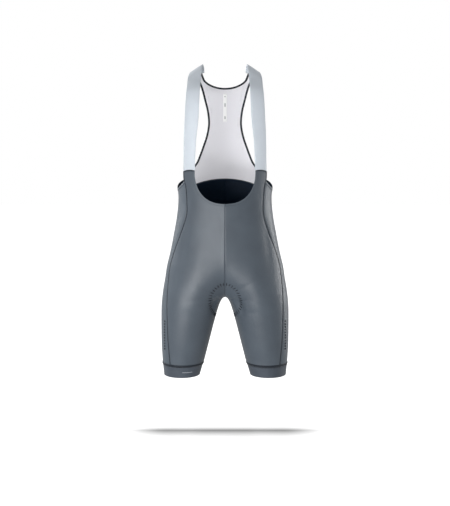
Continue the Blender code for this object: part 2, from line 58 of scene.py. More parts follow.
# The form that all the cloth lies on: metres, heights up from the hem
form = {
    "shoulderHeight": 0.858,   # the origin's height above the hem
    "bandHeight": 0.033,
    "blend": 0.010,            # radius where the two leg tubes run together
}
formTable = (
    # height, side, inner, front, back
    (0.0000, 0.1735, 0.0712, 0.052, 0.053),
    (0.0330, 0.1765, 0.0618, 0.058, 0.059),
    (0.0900, 0.1792, 0.0474, 0.071, 0.074),
    (0.1500, 0.1796, 0.0326, 0.082, 0.088),
    (0.1900, 0.1790, 0.0221, 0.088, 0.098),
    (0.2080, 0.1778, 0.0163, 0.091, 0.103),
    (0.2215, 0.1765, 0.0100, 0.092, 0.107),
    (0.2500, 0.1725, -0.0110, 0.095, 0.114),
    (0.2750, 0.1680, -0.0390, 0.097, 0.119),
    (0.3100, 0.1625, -0.0810, 0.098, 0.120),
    (0.3500, 0.1527, -0.1170, 0.097, 0.114),
    (0.4000, 0.1427, -0.1365, 0.096, 0.102),
    (0.4500, 0.1338, -0.1338, 0.096, 0.092),
    (0.5000, 0.1293, -0.1293, 0.097, 0.088),
    (0.5400, 0.1332, -0.1332, 0.099, 0.089),
    (0.6000, 0.1400, -0.1400, 0.103, 0.095),
    (0.6600, 0.1500, -0.1500, 0.108, 0.103),
    (0.7200, 0.1580, -0.1580, 0.111, 0.106),
    (0.7800, 0.1620, -0.1620, 0.106, 0.098),
    (0.8200, 0.1600, -0.1600, 0.090, 0.068),
    (0.8500, 0.1520, -0.1520, 0.060, 0.030),
)
seamTable = (
    # height, front seam x, back seam x
    (0.000, 0.1510, 0.1420),
    (0.037, 0.1540, 0.1450),
    (0.105, 0.1590, 0.1500),
    (0.159, 0.1605, 0.1505),
    (0.222, 0.1605, 0.1490),
    (0.303, 0.1540, 0.1420),
    (0.346, 0.1434, 0.1340),
    (0.410, 0.1207, 0.1170),
    (0.458, 0.1055, 0.1070),
    (0.489, 0.1042, 0.1060),
    (0.534, 0.1070, 0.1103),
    (0.556, 0.1120, 0.1125),
    (0.582, 0.1126, 0.1125),
)
meshEdgeTable = (
    # height, half width of the mesh back
    (0.5220, 0.1089),
    (0.5470, 0.1112),
    (0.5620, 0.1050),
    (0.5925, 0.0812),
    (0.6120, 0.0725),
    (0.6340, 0.0643),
    (0.6680, 0.0529),
    (0.7020, 0.0472),
    (0.7360, 0.0500),
    (0.7700, 0.0580),
    (0.8030, 0.0665),
    (0.8250, 0.0755),
    (0.8400, 0.0840),
)
strapTable = (
    # outer x, outer y, outer height, inner x, inner y, inner height, bow
    (0.1114, -0.0645, 0.6080, 0.0811, -0.0850, 0.6090, 0.0020),
    (0.1102, -0.0740, 0.6620, 0.0779, -0.0925, 0.6626, 0.0020),
    (0.1074, -0.0810, 0.7154, 0.0717, -0.0985, 0.7156, 0.0018),
    (0.1050, -0.0780, 0.7600, 0.0692, -0.0930, 0.7620, 0.0016),
    (0.1030, -0.0670, 0.7896, 0.0680, -0.0800, 0.7920, 0.0014),
    (0.1013, -0.0550, 0.8057, 0.0669, -0.0650, 0.8095, 0.0012),
    (0.1004, -0.0380, 0.8220, 0.0658, -0.0450, 0.8263, 0.0010),
    (0.0987, -0.0200, 0.8340, 0.0644, -0.0240, 0.8490, 0.0008),
    (0.0954, 0.0000, 0.8433, 0.0620, -0.0010, 0.8650, 0.0005),
    (0.0920, 0.0150, 0.8455, 0.0595, 0.0150, 0.8610, 0.0005),
    (0.0900, 0.0260, 0.8430, 0.0580, 0.0270, 0.8530, 0.0005),
)
levelTable = (
    # a row's height at the centre or inseam, and at the side seams
    (0.0330, 0.0330),
    (0.0660, 0.0640),
    (0.1000, 0.0930),
    (0.1330, 0.1200),
    (0.1630, 0.1450),
    (0.1880, 0.1680),
    (0.2060, 0.1880),
    (0.2165, 0.2050),
    (0.2215, 0.2200),
    (0.2255, 0.2340),
    (0.2335, 0.2480),
    (0.2460, 0.2630),
    (0.2630, 0.2790),
    (0.2850, 0.2970),
    (0.3150, 0.3220),
    (0.3500, 0.3520),
    (0.3850, 0.3850),
    (0.4200, 0.4200),
)


def mix(a, b, t):
    return a + (b - a) * t


def unit(vectors):
    return vectors / np.linalg.norm(vectors, axis=-1, keepdims=True)


def readTable(table, heights, column):   # a smooth curve through one column of a table
    rows = np.array(table)
    spots = rows[:, 0]
    values = rows[:, column]
    order = np.arange(len(spots))
    before = np.maximum(order - 1, 0)
    after = np.minimum(order + 1, len(spots) - 1)
    slopes = (values[after] - values[before]) / (spots[after] - spots[before])
    upper = np.clip(np.searchsorted(spots, heights, side="right"), 1, len(spots) - 1)
    lower = upper - 1
    span = spots[upper] - spots[lower]
    t = np.clip((heights - spots[lower]) / span, 0, 1)
    return (values[lower] * (1 + 2 * t) * (1 - t) ** 2 + values[upper] * t * t * (3 - 2 * t)
            + slopes[lower] * span * t * (1 - t) ** 2 - slopes[upper] * span * t * t * (1 - t))


def tubeAt(heights):   # one leg's tube: centre, half width, front depth, back depth
    side = np.hypot(readTable(formTable, heights, 1), form["blend"])
    inner = readTable(formTable, heights, 2)
    front = readTable(formTable, heights, 3)
    back = readTable(formTable, heights, 4)
    return (side + inner) / 2, (side - inner) / 2, front, back


def formPoint(heights, angles):   # angle 0 is the side, negative is in front, positive behind
    centre, half, front, back = tubeAt(heights)
    across = centre + half * np.cos(angles)
    x = np.sqrt(np.maximum(across ** 2 - form["blend"] ** 2, 0))
    y = np.where(angles < 0, front, back) * np.sin(angles)
    return np.stack([x, y, heights + 0 * x], -1)


def centreAngle(heights):   # where the form meets the centre plane, or half a turn in a leg
    centre, half, front, back = tubeAt(heights)
    return np.arccos(np.clip((form["blend"] - centre) / half, -1, 1))


def angleAt(x, heights):
    centre, half, front, back = tubeAt(heights)
    return np.arccos(np.clip((np.hypot(x, form["blend"]) - centre) / half, -1, 1))


def offForm(points):   # zero on the cloth, positive outside
    centre, half, front, back = tubeAt(points[..., 2])
    across = (np.hypot(points[..., 0], form["blend"]) - centre) / half
    along = points[..., 1] / np.where(points[..., 1] < 0, front, back)
    return across ** 2 + along ** 2 - 1


def outward(points):   # unit normals of the form
    step = 0.0004
    return unit(np.stack([offForm(points + step * axis) - offForm(points - step * axis)
                          for axis in np.eye(3)], -1))


def sharePoint(heights, start, end, share):   # at a share of the cloth's length between two angles
    shape = np.broadcast_shapes(np.shape(heights), np.shape(share))
    heights = np.broadcast_to(heights, shape)
    start = np.broadcast_to(start, shape)
    end = np.broadcast_to(end, shape)
    samples = 60
    angles = start[..., None] + (end - start)[..., None] * (np.arange(samples + 1) / samples) ** 2
    points = formPoint(heights[..., None] + 0 * angles, angles)
    steps = np.linalg.norm(np.diff(points, axis=-2), axis=-1)
    lengths = np.concatenate([0 * steps[..., :1], np.cumsum(steps, -1)], -1)
    wanted = share * lengths[..., -1]
    upper = np.clip((lengths < wanted[..., None]).sum(-1), 1, samples)[..., None]
    low = np.take_along_axis(lengths, upper - 1, -1)[..., 0]
    high = np.take_along_axis(lengths, upper, -1)[..., 0]
    t = (wanted - low) / np.maximum(high - low, 1e-9)
    angle = mix(np.take_along_axis(angles, upper - 1, -1)[..., 0],
                np.take_along_axis(angles, upper, -1)[..., 0], t)
    return formPoint(heights, angle)


def backPoint(x, heights):   # on the back of the form, on either side
    points = formPoint(heights, angleAt(np.abs(x), heights))
    points[..., 0] *= np.where(x < 0, -1, 1)
    return points


def mirrored(points):
    return points * np.array([-1, 1, 1])


# Soft relief: creases, the pad's swell and seams that draw in
creases = {
    "reach": 0.16,             # cloth farther than this from a crease's middle is left alone
    "padRidge": 0.0034,        # swell of the cloth over the pad's front
    "padGroove": 0.0006,       # how deep the pad's stitching draws in
    "grooveWidth": 0.0062,
    "crotchPoint": (0, -0.050, 0.232),
    "padRadius": 0.026,
    "frontRidge": 0.0062,      # the centre front seam stands proud between the two panels
    "frontRidgeRight": 0.024,  # how wide it is on each side
    "frontRidgeLeft": 0.040,
    "ridgeStart": 0.25,        # the height where it starts, and over how much it rises
    "ridgeRise": 0.12,
    "seamDraw": 0.0006,        # how far cloth draws in beside a side seam
    "seamReach": 0.0045,
    "puckerLength": 0.0085,
    "puckerDepth": 0.0003,
}
creaseTable = (
    # face (-1 front, 1 back), start x, height, middle x, height, end x, height, depth mm, width mm
    (-1, 0.024, 0.232, 0.040, 0.207, 0.048, 0.172, 6.5, 14),
    (-1, -0.018, 0.230, -0.029, 0.214, -0.037, 0.182, 4.0, 11),
    (-1, 0.104, 0.455, 0.116, 0.385, 0.126, 0.290, 2.0, 15),
    (-1, 0.068, 0.340, 0.084, 0.270, 0.094, 0.150, -2.0, 22),
    (-1, -0.060, 0.400, -0.074, 0.320, -0.082, 0.200, -1.3, 23),
    (-1, -0.099, 0.440, -0.114, 0.365, -0.127, 0.270, 1.2, 13),
    (-1, 0.010, 0.246, 0.048, 0.262, 0.092, 0.288, 0.7, 7),
    (-1, -0.010, 0.243, -0.042, 0.255, -0.078, 0.272, 0.6, 6),
    (-1, 0.045, 0.196, 0.066, 0.190, 0.090, 0.196, 0.7, 7),
    (-1, -0.046, 0.186, -0.070, 0.180, -0.098, 0.188, 0.6, 7),
    (-1, 0.020, 0.440, 0.052, 0.452, 0.086, 0.448, 0.5, 9),
    (-1, -0.030, 0.425, -0.060, 0.436, -0.092, 0.430, 0.6, 8),
    (-1, 0.092, 0.036, 0.095, 0.055, 0.096, 0.088, 0.5, 5),
    (-1, 0.128, 0.036, 0.130, 0.050, 0.134, 0.072, 0.4, 4),
    (-1, -0.100, 0.036, -0.102, 0.060, -0.101, 0.098, 0.5, 5),
    (-1, -0.133, 0.036, -0.136, 0.052, -0.137, 0.076, 0.4, 4),
    (1, 0.012, 0.262, 0.046, 0.266, 0.092, 0.286, 1.7, 8),
    (1, -0.010, 0.257, -0.052, 0.268, -0.100, 0.294, 1.4, 9),
    (1, 0.022, 0.232, 0.060, 0.228, 0.110, 0.240, 1.2, 9),
    (1, -0.020, 0.236, -0.058, 0.226, -0.102, 0.233, 1.4, 8),
    (1, 0.030, 0.200, 0.062, 0.190, 0.098, 0.192, 0.9, 7),
    (1, -0.034, 0.190, -0.070, 0.184, -0.112, 0.192, 0.8, 8),
    (1, -0.092, 0.500, -0.030, 0.486, 0.040, 0.493, 1.1, 9),
    (1, 0.020, 0.466, 0.062, 0.455, 0.100, 0.470, 0.9, 8),
    (1, -0.080, 0.452, -0.048, 0.444, -0.012, 0.451, 0.7, 7),
    (1, 0.060, 0.415, 0.084, 0.372, 0.096, 0.320, -1.1, 18),
    (1, -0.058, 0.408, -0.082, 0.366, -0.098, 0.330, -0.9, 17),
    (1, 0.090, 0.036, 0.094, 0.062, 0.093, 0.096, 0.5, 5),
    (1, -0.112, 0.036, -0.110, 0.058, -0.113, 0.090, 0.5, 5),
    (1, 0.160, 0.270, 0.165, 0.235, 0.170, 0.190, 0.8, 9),
    (-1, -0.166, 0.250, -0.170, 0.215, -0.172, 0.170, 0.7, 8),
)


def curveLine(corners, count):   # a smooth bend from the first corner to the last
    t = np.linspace(0, 1, count)[:, None]
    start, middle, end = corners
    pull = 2 * middle - (start + end) / 2
    return (1 - t) ** 2 * start + 2 * t * (1 - t) * pull + t * t * end


def nearest(points, line):   # distance to a line of points, and the share along it
    flat = points.reshape(-1, 3)
    gaps = np.linalg.norm(flat[:, None] - line[None], axis=-1)
    best = gaps.argmin(1)
    distance = gaps[np.arange(len(flat)), best]
    return distance.reshape(points.shape[:-1]), (best / (len(line) - 1)).reshape(points.shape[:-1])


# The seat pad's outline, laid round the crotch curve from a centre inside the seat
padShape = {
    "centreY": 0.012,
    "centreHeight": 0.330,
    "frontAngle": -61,
    "backAngle": 92,
    "frontHalf": 0.044,
    "backHalf": 0.066,
    "rows": 96,
    "columns": 26,
    "clearance": 0.0042,   # from the outside of the panels to the pad
    "thickness": 0.0062,
    "fill": 0.75,
    "endInset": 0.02,      # how blunt the pad's two ends are, and how round
    "endPower": 6,
}
padStitchTable = (
    # angle round the crotch, half width of the pad stitching there
    (-56.5, 0.0000),
    (-55.8, 0.0120),
    (-53.6, 0.0240),
    (-49.0, 0.0370),
    (-42.0, 0.0480),
    (-32.0, 0.0560),
    (-18.0, 0.0595),
    (4.0, 0.0600),
    (26.0, 0.0605),
    (48.0, 0.0630),
    (66.0, 0.0635),
    (78.0, 0.0560),
    (84.5, 0.0420),
    (87.4, 0.0260),
    (88.4, 0.0115),
    (88.8, 0.0000),
)


def marchedPoints(angles, halves, steps):   # points along the form, away from the crotch curve
    ahead = np.sin(angles)
    down = np.cos(angles)

    def place(x, reach):
        return np.stack([x, padShape["centreY"] + reach * ahead,
                         padShape["centreHeight"] - reach * down], -1)

    def level(x, reach):
        return offForm(place(x, reach))

    def slopes(x, reach):
        step = 0.0003
        return ((level(x + step, reach) - level(x - step, reach)) / (2 * step),
                (level(x, reach + step) - level(x, reach - step)) / (2 * step))

    low = 0 * angles
    high = low + 0.2
    for _ in range(40):
        middle = (low + high) / 2
        inside = level(low * 0, middle) < 0
        low = np.where(inside, middle, low)
        high = np.where(inside, high, middle)
    x, reach = 0 * angles, high
    found = [place(x, reach)]
    for _ in range(steps):
        slopeX, slopeReach = slopes(x, reach)
        size = halves / steps / np.hypot(slopeX, slopeReach)
        x, reach = x + slopeReach * size, reach - slopeX * size
        slopeX, slopeReach = slopes(x, reach)
        off = level(x, reach) / (slopeX ** 2 + slopeReach ** 2)
        x, reach = x - slopeX * off, reach - slopeReach * off
        found.append(place(x, reach))
    return np.stack(found, 1)


def padStitchLine():   # the stitching's path on the left half, from the front to the back
    rows = np.array(padStitchTable)
    t = np.linspace(0, len(rows) - 1, 220)
    numbered = np.column_stack([np.arange(len(rows)), rows])
    angles = np.radians(readTable(numbered, t, 1))
    halves = np.maximum(readTable(numbered, t, 2), 0)
    return marchedPoints(angles, halves, 40)[:, -1]


padLine = padStitchLine()
padLoop = np.concatenate([padLine, mirrored(padLine[::-1])])


def relief(points):   # how far the cloth stands off the plain form at each point
    lift = np.zeros(points.shape[:-1])
    for face, startX, startZ, midX, midZ, endX, endZ, depth, width in creaseTable:
        xs = np.array([startX, midX, endX])
        heights = np.array([startZ, midZ, endZ])
        corners = backPoint(xs, heights)
        if face < 0:
            corners = formPoint(heights, -angleAt(np.abs(xs), heights))
            corners[:, 0] *= np.sign(xs)
        line = curveLine(corners, 36)
        near = np.linalg.norm(points - line[len(line) // 2], axis=-1) < creases["reach"]
        if not near.any():
            continue
        distance, share = nearest(points[near], line)
        fade = np.sin(np.pi * share) ** 0.8
        lift[near] -= depth / 1000 * fade * np.exp(-(distance * 1000 / width) ** 2)
    x, y, height = points[..., 0], points[..., 1], points[..., 2]
    span = np.clip((height - creases["ridgeStart"]) / creases["ridgeRise"], 0, 1)
    span = span * span * (3 - 2 * span) * (y < 0)
    width = np.where(x < 0, creases["frontRidgeRight"], creases["frontRidgeLeft"])
    lift += creases["frontRidge"] * span * np.exp(-np.abs(x) / width)
    low = np.abs(height - 0.24) < 0.14
    distance, share = nearest(points[low], padLoop)
    lift[low] -= creases["padGroove"] * np.exp(-(distance / creases["grooveWidth"]) ** 2)
    crotch = np.linalg.norm(points - np.array(creases["crotchPoint"]), axis=-1)
    lift += creases["padRidge"] * np.exp(-(crotch / creases["padRadius"]) ** 2)
    return lift


def seamDraw(grid, sides):   # cloth draws in, and puckers a little, towards its sewn sides
    steps = np.linalg.norm(np.diff(grid, axis=1), axis=-1)
    steps = np.nan_to_num(steps)
    across = np.concatenate([0 * steps[:, :1], np.cumsum(steps, 1)], 1)
    drawn = np.zeros(grid.shape[:2])
    for side in sides:
        gap = across if side == 0 else across[:, -1:] - across
        near = np.exp(-(gap / creases["seamReach"]) ** 2)
        height = np.nan_to_num(grid[..., 2])
        wave = np.sin(2 * np.pi * height / creases["puckerLength"] + 1.7 * np.sin(height * 61))
        drawn -= near * (creases["seamDraw"] + creases["puckerDepth"] * wave * (gap > 1e-6))
    return drawn


def shaped(grid, sides=()):   # a panel's grid with its relief
    normals = outward(np.nan_to_num(grid))
    lift = relief(np.nan_to_num(grid)) + seamDraw(grid, sides)
    return grid + normals * lift[..., None], normals


# Materials
def hexColour(text):   # sRGB hex to linear
    values = [int(text[k:k + 2], 16) / 255 for k in (1, 3, 5)]
    linear = [v / 12.92 if v <= 0.04045 else ((v + 0.055) / 1.055) ** 2.4 for v in values]
    return (*linear, 1.0)


def addNode(tree, kind, inputs=(), **settings):   # one node with its settings and links
    node = tree.nodes.new("ShaderNode" + kind)
    for key, value in settings.items():
        setattr(node, key, value)
    for key, value in dict(inputs).items():
        if isinstance(value, bpy.types.NodeSocket):
            tree.links.new(value, node.inputs[key])
        else:
            node.inputs[key].default_value = value
    return node


def startMaterial(name, **surface):   # a material with its Principled shader's own values
    made = bpy.data.materials.new(name)
    made.use_nodes = True
    shader = made.node_tree.nodes["Principled BSDF"]
    for key, value in surface.items():
        shader.inputs[key.replace("_", " ")].default_value = value
    return made, made.node_tree, shader


def bandScale(pitch):   # a Wave texture's scale for bands this far apart
    return 2 * math.pi / (20 * pitch)


def finishMaterial(tree, shader, colour, roughness, height, strength, distance):
    bump = addNode(tree, "Bump", {"Height": height, "Strength": strength, "Distance": distance})
    tree.links.new(colour, shader.inputs["Base Color"])
    tree.links.new(roughness, shader.inputs["Roughness"])
    tree.links.new(bump.outputs["Normal"], shader.inputs["Normal"])


lycraLook = {
    "face": "#58626c",
    "faceDark": "#4e5761",
    "side": "#5c6670",
    "sideDark": "#515b65",
    # inside faces and cut edges: the knit's darker reverse, made darker still as painted shade of
    # the garment's inside
    "inside": "#162536",
    "insideDark": "#0c1826",
    "walePitch": 0.0012,    # real wales are 0.4 mm apart, drawn at 1.2 mm so that they show
    "coursePitch": 0.0010,
    "roughness": (0.38, 0.46),
    "sheen": 0.22,
    "shine": 0.60,
    "insideShine": 0.06,
}


# Polyamide and elastane warp knit, heat set smooth: an even, slightly silky cloth with a
# soft wide highlight, fine upright wales and a faint mottle from the dyed yarn.
def warpKnitLycra(name, light, dark, sheen, shine):
    made, tree, shader = startMaterial(name, Metallic=0.0, IOR=1.5, Sheen_Weight=sheen,
                                       Sheen_Roughness=0.35, Anisotropic=0.25,
                                       Specular_IOR_Level=shine)
    cloth = addNode(tree, "UVMap", uv_map="cloth").outputs["UV"]
    wales = addNode(tree, "TexWave", {"Vector": cloth, "Scale": bandScale(lycraLook["walePitch"]),
                                      "Distortion": 0.4, "Detail": 0.0}, bands_direction="X")
    courses = addNode(tree, "TexWave", {"Vector": cloth,
                                        "Scale": bandScale(lycraLook["coursePitch"]),
                                        "Distortion": 0.6, "Detail": 0.0}, bands_direction="Y")
    loops = addNode(tree, "Math", {0: wales.outputs["Fac"], 1: courses.outputs["Fac"]},
                    operation="MULTIPLY")
    mottle = addNode(tree, "TexNoise", {"Vector": cloth, "Scale": 420.0, "Detail": 3.0,
                                        "Roughness": 0.6})
    drift = addNode(tree, "TexNoise", {"Vector": cloth, "Scale": 14.0, "Detail": 2.0})
    both = addNode(tree, "Math", {0: mottle.outputs["Fac"], 1: drift.outputs["Fac"]},
                   operation="ADD")
    share = addNode(tree, "MapRange", {"Value": both.outputs[0], "From Min": 0.75,
                                       "From Max": 1.25, "To Min": 0.1, "To Max": 0.9})
    mixed = addNode(tree, "Mix", {0: share.outputs[0], 6: hexColour(dark), 7: hexColour(light)},
                    data_type="RGBA")
    # painted shade: the colour follows the knit's bump, darker in its grooves
    grooveShade = addNode(tree, "MapRange", {"Value": loops.outputs[0], "To Min": 0.93,
                                         "To Max": 1.03})
    toned = addNode(tree, "VectorMath", {0: mixed.outputs[2], 1: grooveShade.outputs[0]},
                    operation="MULTIPLY")
    low, high = lycraLook["roughness"]
    rough = addNode(tree, "MapRange", {"Value": mottle.outputs["Fac"], "To Min": low,
                                       "To Max": high})
    finishMaterial(tree, shader, toned.outputs[0], rough.outputs[0], loops.outputs[0],
                   0.35, 0.00025)
    return made


elasticLook = {
    "strap": "#bfc6cd",
    "strapDark": "#b6bdc5",
    "strapRib": 0.0016,     # fine ribs along a woven strap, about 1.6 mm apart
    "hem": "#565e68",
    "hemDark": "#3c434d",
    "hemRib": 0.0022,       # the gripper knit's rows of rubber yarn, 2.2 mm apart
}


# Flat elastic, woven or knitted with covered rubber yarn: matt, dense and ribbed one way.
def ribbedElastic(name, light, dark, pitch, direction, roughness, sheen, depth):
    made, tree, shader = startMaterial(name, Metallic=0.0, IOR=1.5, Sheen_Weight=sheen,
                                       Sheen_Roughness=0.5, Specular_IOR_Level=0.35)
    cloth = addNode(tree, "UVMap", uv_map="cloth").outputs["UV"]
    ribs = addNode(tree, "TexWave", {"Vector": cloth, "Scale": bandScale(pitch),
                                     "Distortion": 0.3, "Detail": 0.0},
                   bands_direction=direction)
    yarn = addNode(tree, "TexNoise", {"Vector": cloth, "Scale": 900.0, "Detail": 2.0})
    drift = addNode(tree, "TexNoise", {"Vector": cloth, "Scale": 22.0, "Detail": 2.0})
    both = addNode(tree, "Math", {0: yarn.outputs["Fac"], 1: drift.outputs["Fac"]},
                   operation="ADD")
    # painted shade: the colour follows the ribs, darker in the grooves between them, mixed with
    # random yarn tone; it also sets the bump
    ribShadeAndNoise = addNode(tree, "Math", {0: ribs.outputs["Fac"], 1: 0.6, 2: both.outputs[0]},
                   operation="MULTIPLY_ADD")
    share = addNode(tree, "MapRange", {"Value": ribShadeAndNoise.outputs[0], "From Min": 0.8,
                                       "From Max": 1.8})
    mixed = addNode(tree, "Mix", {0: share.outputs[0], 6: hexColour(dark), 7: hexColour(light)},
                    data_type="RGBA")
    rough = addNode(tree, "MapRange", {"Value": yarn.outputs["Fac"], "To Min": roughness - 0.06,
                                       "To Max": roughness + 0.06})
    finishMaterial(tree, shader, mixed.outputs[2], rough.outputs[0], ribShadeAndNoise.outputs[0],
                   0.5, depth)
    return made


meshLook = {
    "yarn": "#ecebef",
    # the holes' darker colour is painted shade
    "holeShade": "#d2d1d7",
    "pitch": 0.0030,        # real holes are 1.5 mm apart, drawn at 3 mm so that they show
}


# Polyester warp knit mesh, undyed and soft: matt pale yarn round staggered small holes, which are
# painted darker as shade.
def warpKnitMesh(name):
    made, tree, shader = startMaterial(name, Metallic=0.0, IOR=1.5, Sheen_Weight=0.15,
                                       Sheen_Roughness=0.6, Specular_IOR_Level=0.3)
    cloth = addNode(tree, "UVMap", uv_map="cloth").outputs["UV"]
    parts = addNode(tree, "SeparateXYZ", {0: cloth})
    turn = 2 * math.pi / meshLook["pitch"]
    waves = []
    for axis in ("X", "Y"):
        angle = addNode(tree, "Math", {0: parts.outputs[axis], 1: turn}, operation="MULTIPLY")
        waves.append(addNode(tree, "Math", {0: angle.outputs[0]}, operation="SINE").outputs[0])
    holes = addNode(tree, "Math", {0: waves[0], 1: waves[1]}, operation="MULTIPLY")
    opened = addNode(tree, "MapRange", {"Value": holes.outputs[0], "From Min": 0.35,
                                       "From Max": 0.85}, interpolation_type="SMOOTHSTEP")
    yarn = addNode(tree, "TexNoise", {"Vector": cloth, "Scale": 700.0, "Detail": 3.0})
    # painted shade in the holes, mixed with random yarn tone; it also sets the bump
    holeShadeAndNoise = addNode(tree, "Math", {0: yarn.outputs["Fac"], 1: 0.35, 2: opened.outputs[0]},
                   operation="MULTIPLY_ADD")
    mixed = addNode(tree, "Mix", {0: holeShadeAndNoise.outputs[0], 6: hexColour(meshLook["yarn"]),
                                  7: hexColour(meshLook["holeShade"])}, data_type="RGBA")
    rough = addNode(tree, "MapRange", {"Value": yarn.outputs["Fac"], "To Min": 0.65,
                                       "To Max": 0.85})
    height = addNode(tree, "Math", {0: 1.0, 1: holeShadeAndNoise.outputs[0]}, operation="SUBTRACT")
    finishMaterial(tree, shader, mixed.outputs[2], rough.outputs[0], height.outputs[0],
                   0.5, 0.0003)
    return made


threadLook = {
    "dark": "#28313b",
    "quiet": "#4c545e",
    "tape": "#0d1724",
    "pale": "#b9bec6",
    "labelFace": "#ffffff",
    "mark": "#6f747b",
    "pad": "#2f363e",
}


# Spun or folded yarn goods, such as sewing thread and folded tape: soft, matt and finely
# twisted, so the surface breaks up into short slanting strands.
def twistedYarn(name, colour, pitch, roughness, depth, low=0.72):
    made, tree, shader = startMaterial(name, Metallic=0.0, IOR=1.5, Sheen_Weight=0.2,
                                       Sheen_Roughness=0.5, Specular_IOR_Level=0.35)
    cloth = addNode(tree, "UVMap", uv_map="cloth").outputs["UV"]
    strands = addNode(tree, "TexWave", {"Vector": cloth, "Scale": bandScale(pitch),
                                        "Distortion": 0.5, "Detail": 1.0},
                      bands_direction="DIAGONAL")
    fluff = addNode(tree, "TexNoise", {"Vector": cloth, "Scale": 1200.0, "Detail": 2.0})
    both = addNode(tree, "Math", {0: fluff.outputs["Fac"], 1: 0.7, 2: strands.outputs["Fac"]},
                   operation="MULTIPLY_ADD")
    shade = addNode(tree, "MapRange", {"Value": both.outputs[0], "From Max": 1.6,
                                       "To Min": low, "To Max": 2 - low - 0.16})
    toned = addNode(tree, "VectorMath", {0: hexColour(colour)[:3], 1: shade.outputs[0]},
                    operation="MULTIPLY")
    rough = addNode(tree, "MapRange", {"Value": fluff.outputs["Fac"], "To Min": roughness - 0.08,
                                       "To Max": roughness + 0.08})
    finishMaterial(tree, shader, toned.outputs[0], rough.outputs[0], both.outputs[0], 0.5, depth)
    return made


# Brushed microfibre over moulded foam: dark, very matt, with a short nap.
def brushedFoam(name):
    made, tree, shader = startMaterial(name, Metallic=0.0, IOR=1.5, Sheen_Weight=0.5,
                                       Sheen_Roughness=0.6, Specular_IOR_Level=0.25)
    cloth = addNode(tree, "UVMap", uv_map="cloth").outputs["UV"]
    nap = addNode(tree, "TexNoise", {"Vector": cloth, "Scale": 520.0, "Detail": 5.0,
                                     "Roughness": 0.7})
    dots = addNode(tree, "TexVoronoi", {"Vector": cloth, "Scale": 260.0, "Randomness": 0.3})
    both = addNode(tree, "Math", {0: dots.outputs["Distance"], 1: 0.6, 2: nap.outputs["Fac"]},
                   operation="MULTIPLY_ADD")
    shade = addNode(tree, "MapRange", {"Value": both.outputs[0], "From Min": 0.3,
                                       "From Max": 1.1, "To Min": 0.7, "To Max": 1.25})
    toned = addNode(tree, "VectorMath", {0: hexColour(threadLook["pad"])[:3],
                                         1: shade.outputs[0]}, operation="MULTIPLY")
    rough = addNode(tree, "MapRange", {"Value": nap.outputs["Fac"], "To Min": 0.75,
                                       "To Max": 0.95})
    finishMaterial(tree, shader, toned.outputs[0], rough.outputs[0], both.outputs[0], 0.6, 0.0005)
    return made


lycraFace = warpKnitLycra("warpKnitLycra_face", lycraLook["face"], lycraLook["faceDark"],
                          lycraLook["sheen"], lycraLook["shine"])
lycraSide = warpKnitLycra("warpKnitLycra_side", lycraLook["side"], lycraLook["sideDark"],
                          lycraLook["sheen"], lycraLook["shine"])
# the inside copy of the lycra: darker for the knit's reverse, and for painted shade inside the
# garment
lycraInside = warpKnitLycra("warpKnitLycra_inside_shaded", lycraLook["inside"],
                            lycraLook["insideDark"], 0.0, lycraLook["insideShine"])
strapElastic = ribbedElastic("wovenElastic_strap", elasticLook["strap"],
                             elasticLook["strapDark"], elasticLook["strapRib"], "X",
                             0.55, 0.15, 0.00015)
hemElastic = ribbedElastic("gripperKnit_hem", elasticLook["hem"], elasticLook["hemDark"],
                           elasticLook["hemRib"], "Y", 0.62, 0.15, 0.0003)
meshKnit = warpKnitMesh("warpKnitMesh_back")
threadDark = twistedYarn("textured_thread_dark", threadLook["dark"], 0.0009, 0.6, 0.0002)
threadQuiet = twistedYarn("textured_thread_grey", threadLook["quiet"], 0.0009, 0.6, 0.0002)
threadPale = twistedYarn("textured_thread_pale", threadLook["pale"], 0.0009, 0.6, 0.0002)
foldedTape = twistedYarn("folded_elastic_tape", threadLook["tape"], 0.0014, 0.55, 0.00025)
labelTape = twistedYarn("heat_cut_satin_label", threadLook["labelFace"], 0.0010, 0.5, 0.00008,
                        0.90)
labelInk = twistedYarn("screen_printed_mark", threadLook["mark"], 0.0010, 0.5, 0.00005)
padCloth = brushedFoam("brushed_microfibre_foam")
print("materials made:", len(bpy.data.materials))


# Mesh making
drop = np.array([0, 0, -form["shoulderHeight"]])


def makeMesh(name, points, faces, faceUvs, looks, normals=None):
    if normals is not None:   # faces turn to the side that the cloth's own normals give
        first = points[faces[:, 1]] - points[faces[:, 0]]
        second = points[faces[:, -1]] - points[faces[:, 0]]
        facing = (np.cross(first, second) * normals[faces[:, 0]]).sum()
        if facing < 0:
            faces = faces[:, ::-1]
            faceUvs = faceUvs[:, ::-1]
    mesh = bpy.data.meshes.new(name)
    mesh.from_pydata((points + drop).tolist(), [], faces.tolist())
    layer = mesh.uv_layers.new(name="cloth")
    layer.uv.foreach_set("vector", np.asarray(faceUvs, np.float32).ravel())
    for look in looks:
        mesh.materials.append(look)
    mesh.shade_smooth()
    made = bpy.data.objects.new(name, mesh)
    bpy.context.scene.collection.objects.link(made)
    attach(made, "root")
    return made


def cellCorners(values):   # the four corners of each cell of a grid
    return np.stack([values[:-1, :-1], values[:-1, 1:], values[1:, 1:], values[1:, :-1]], 2)


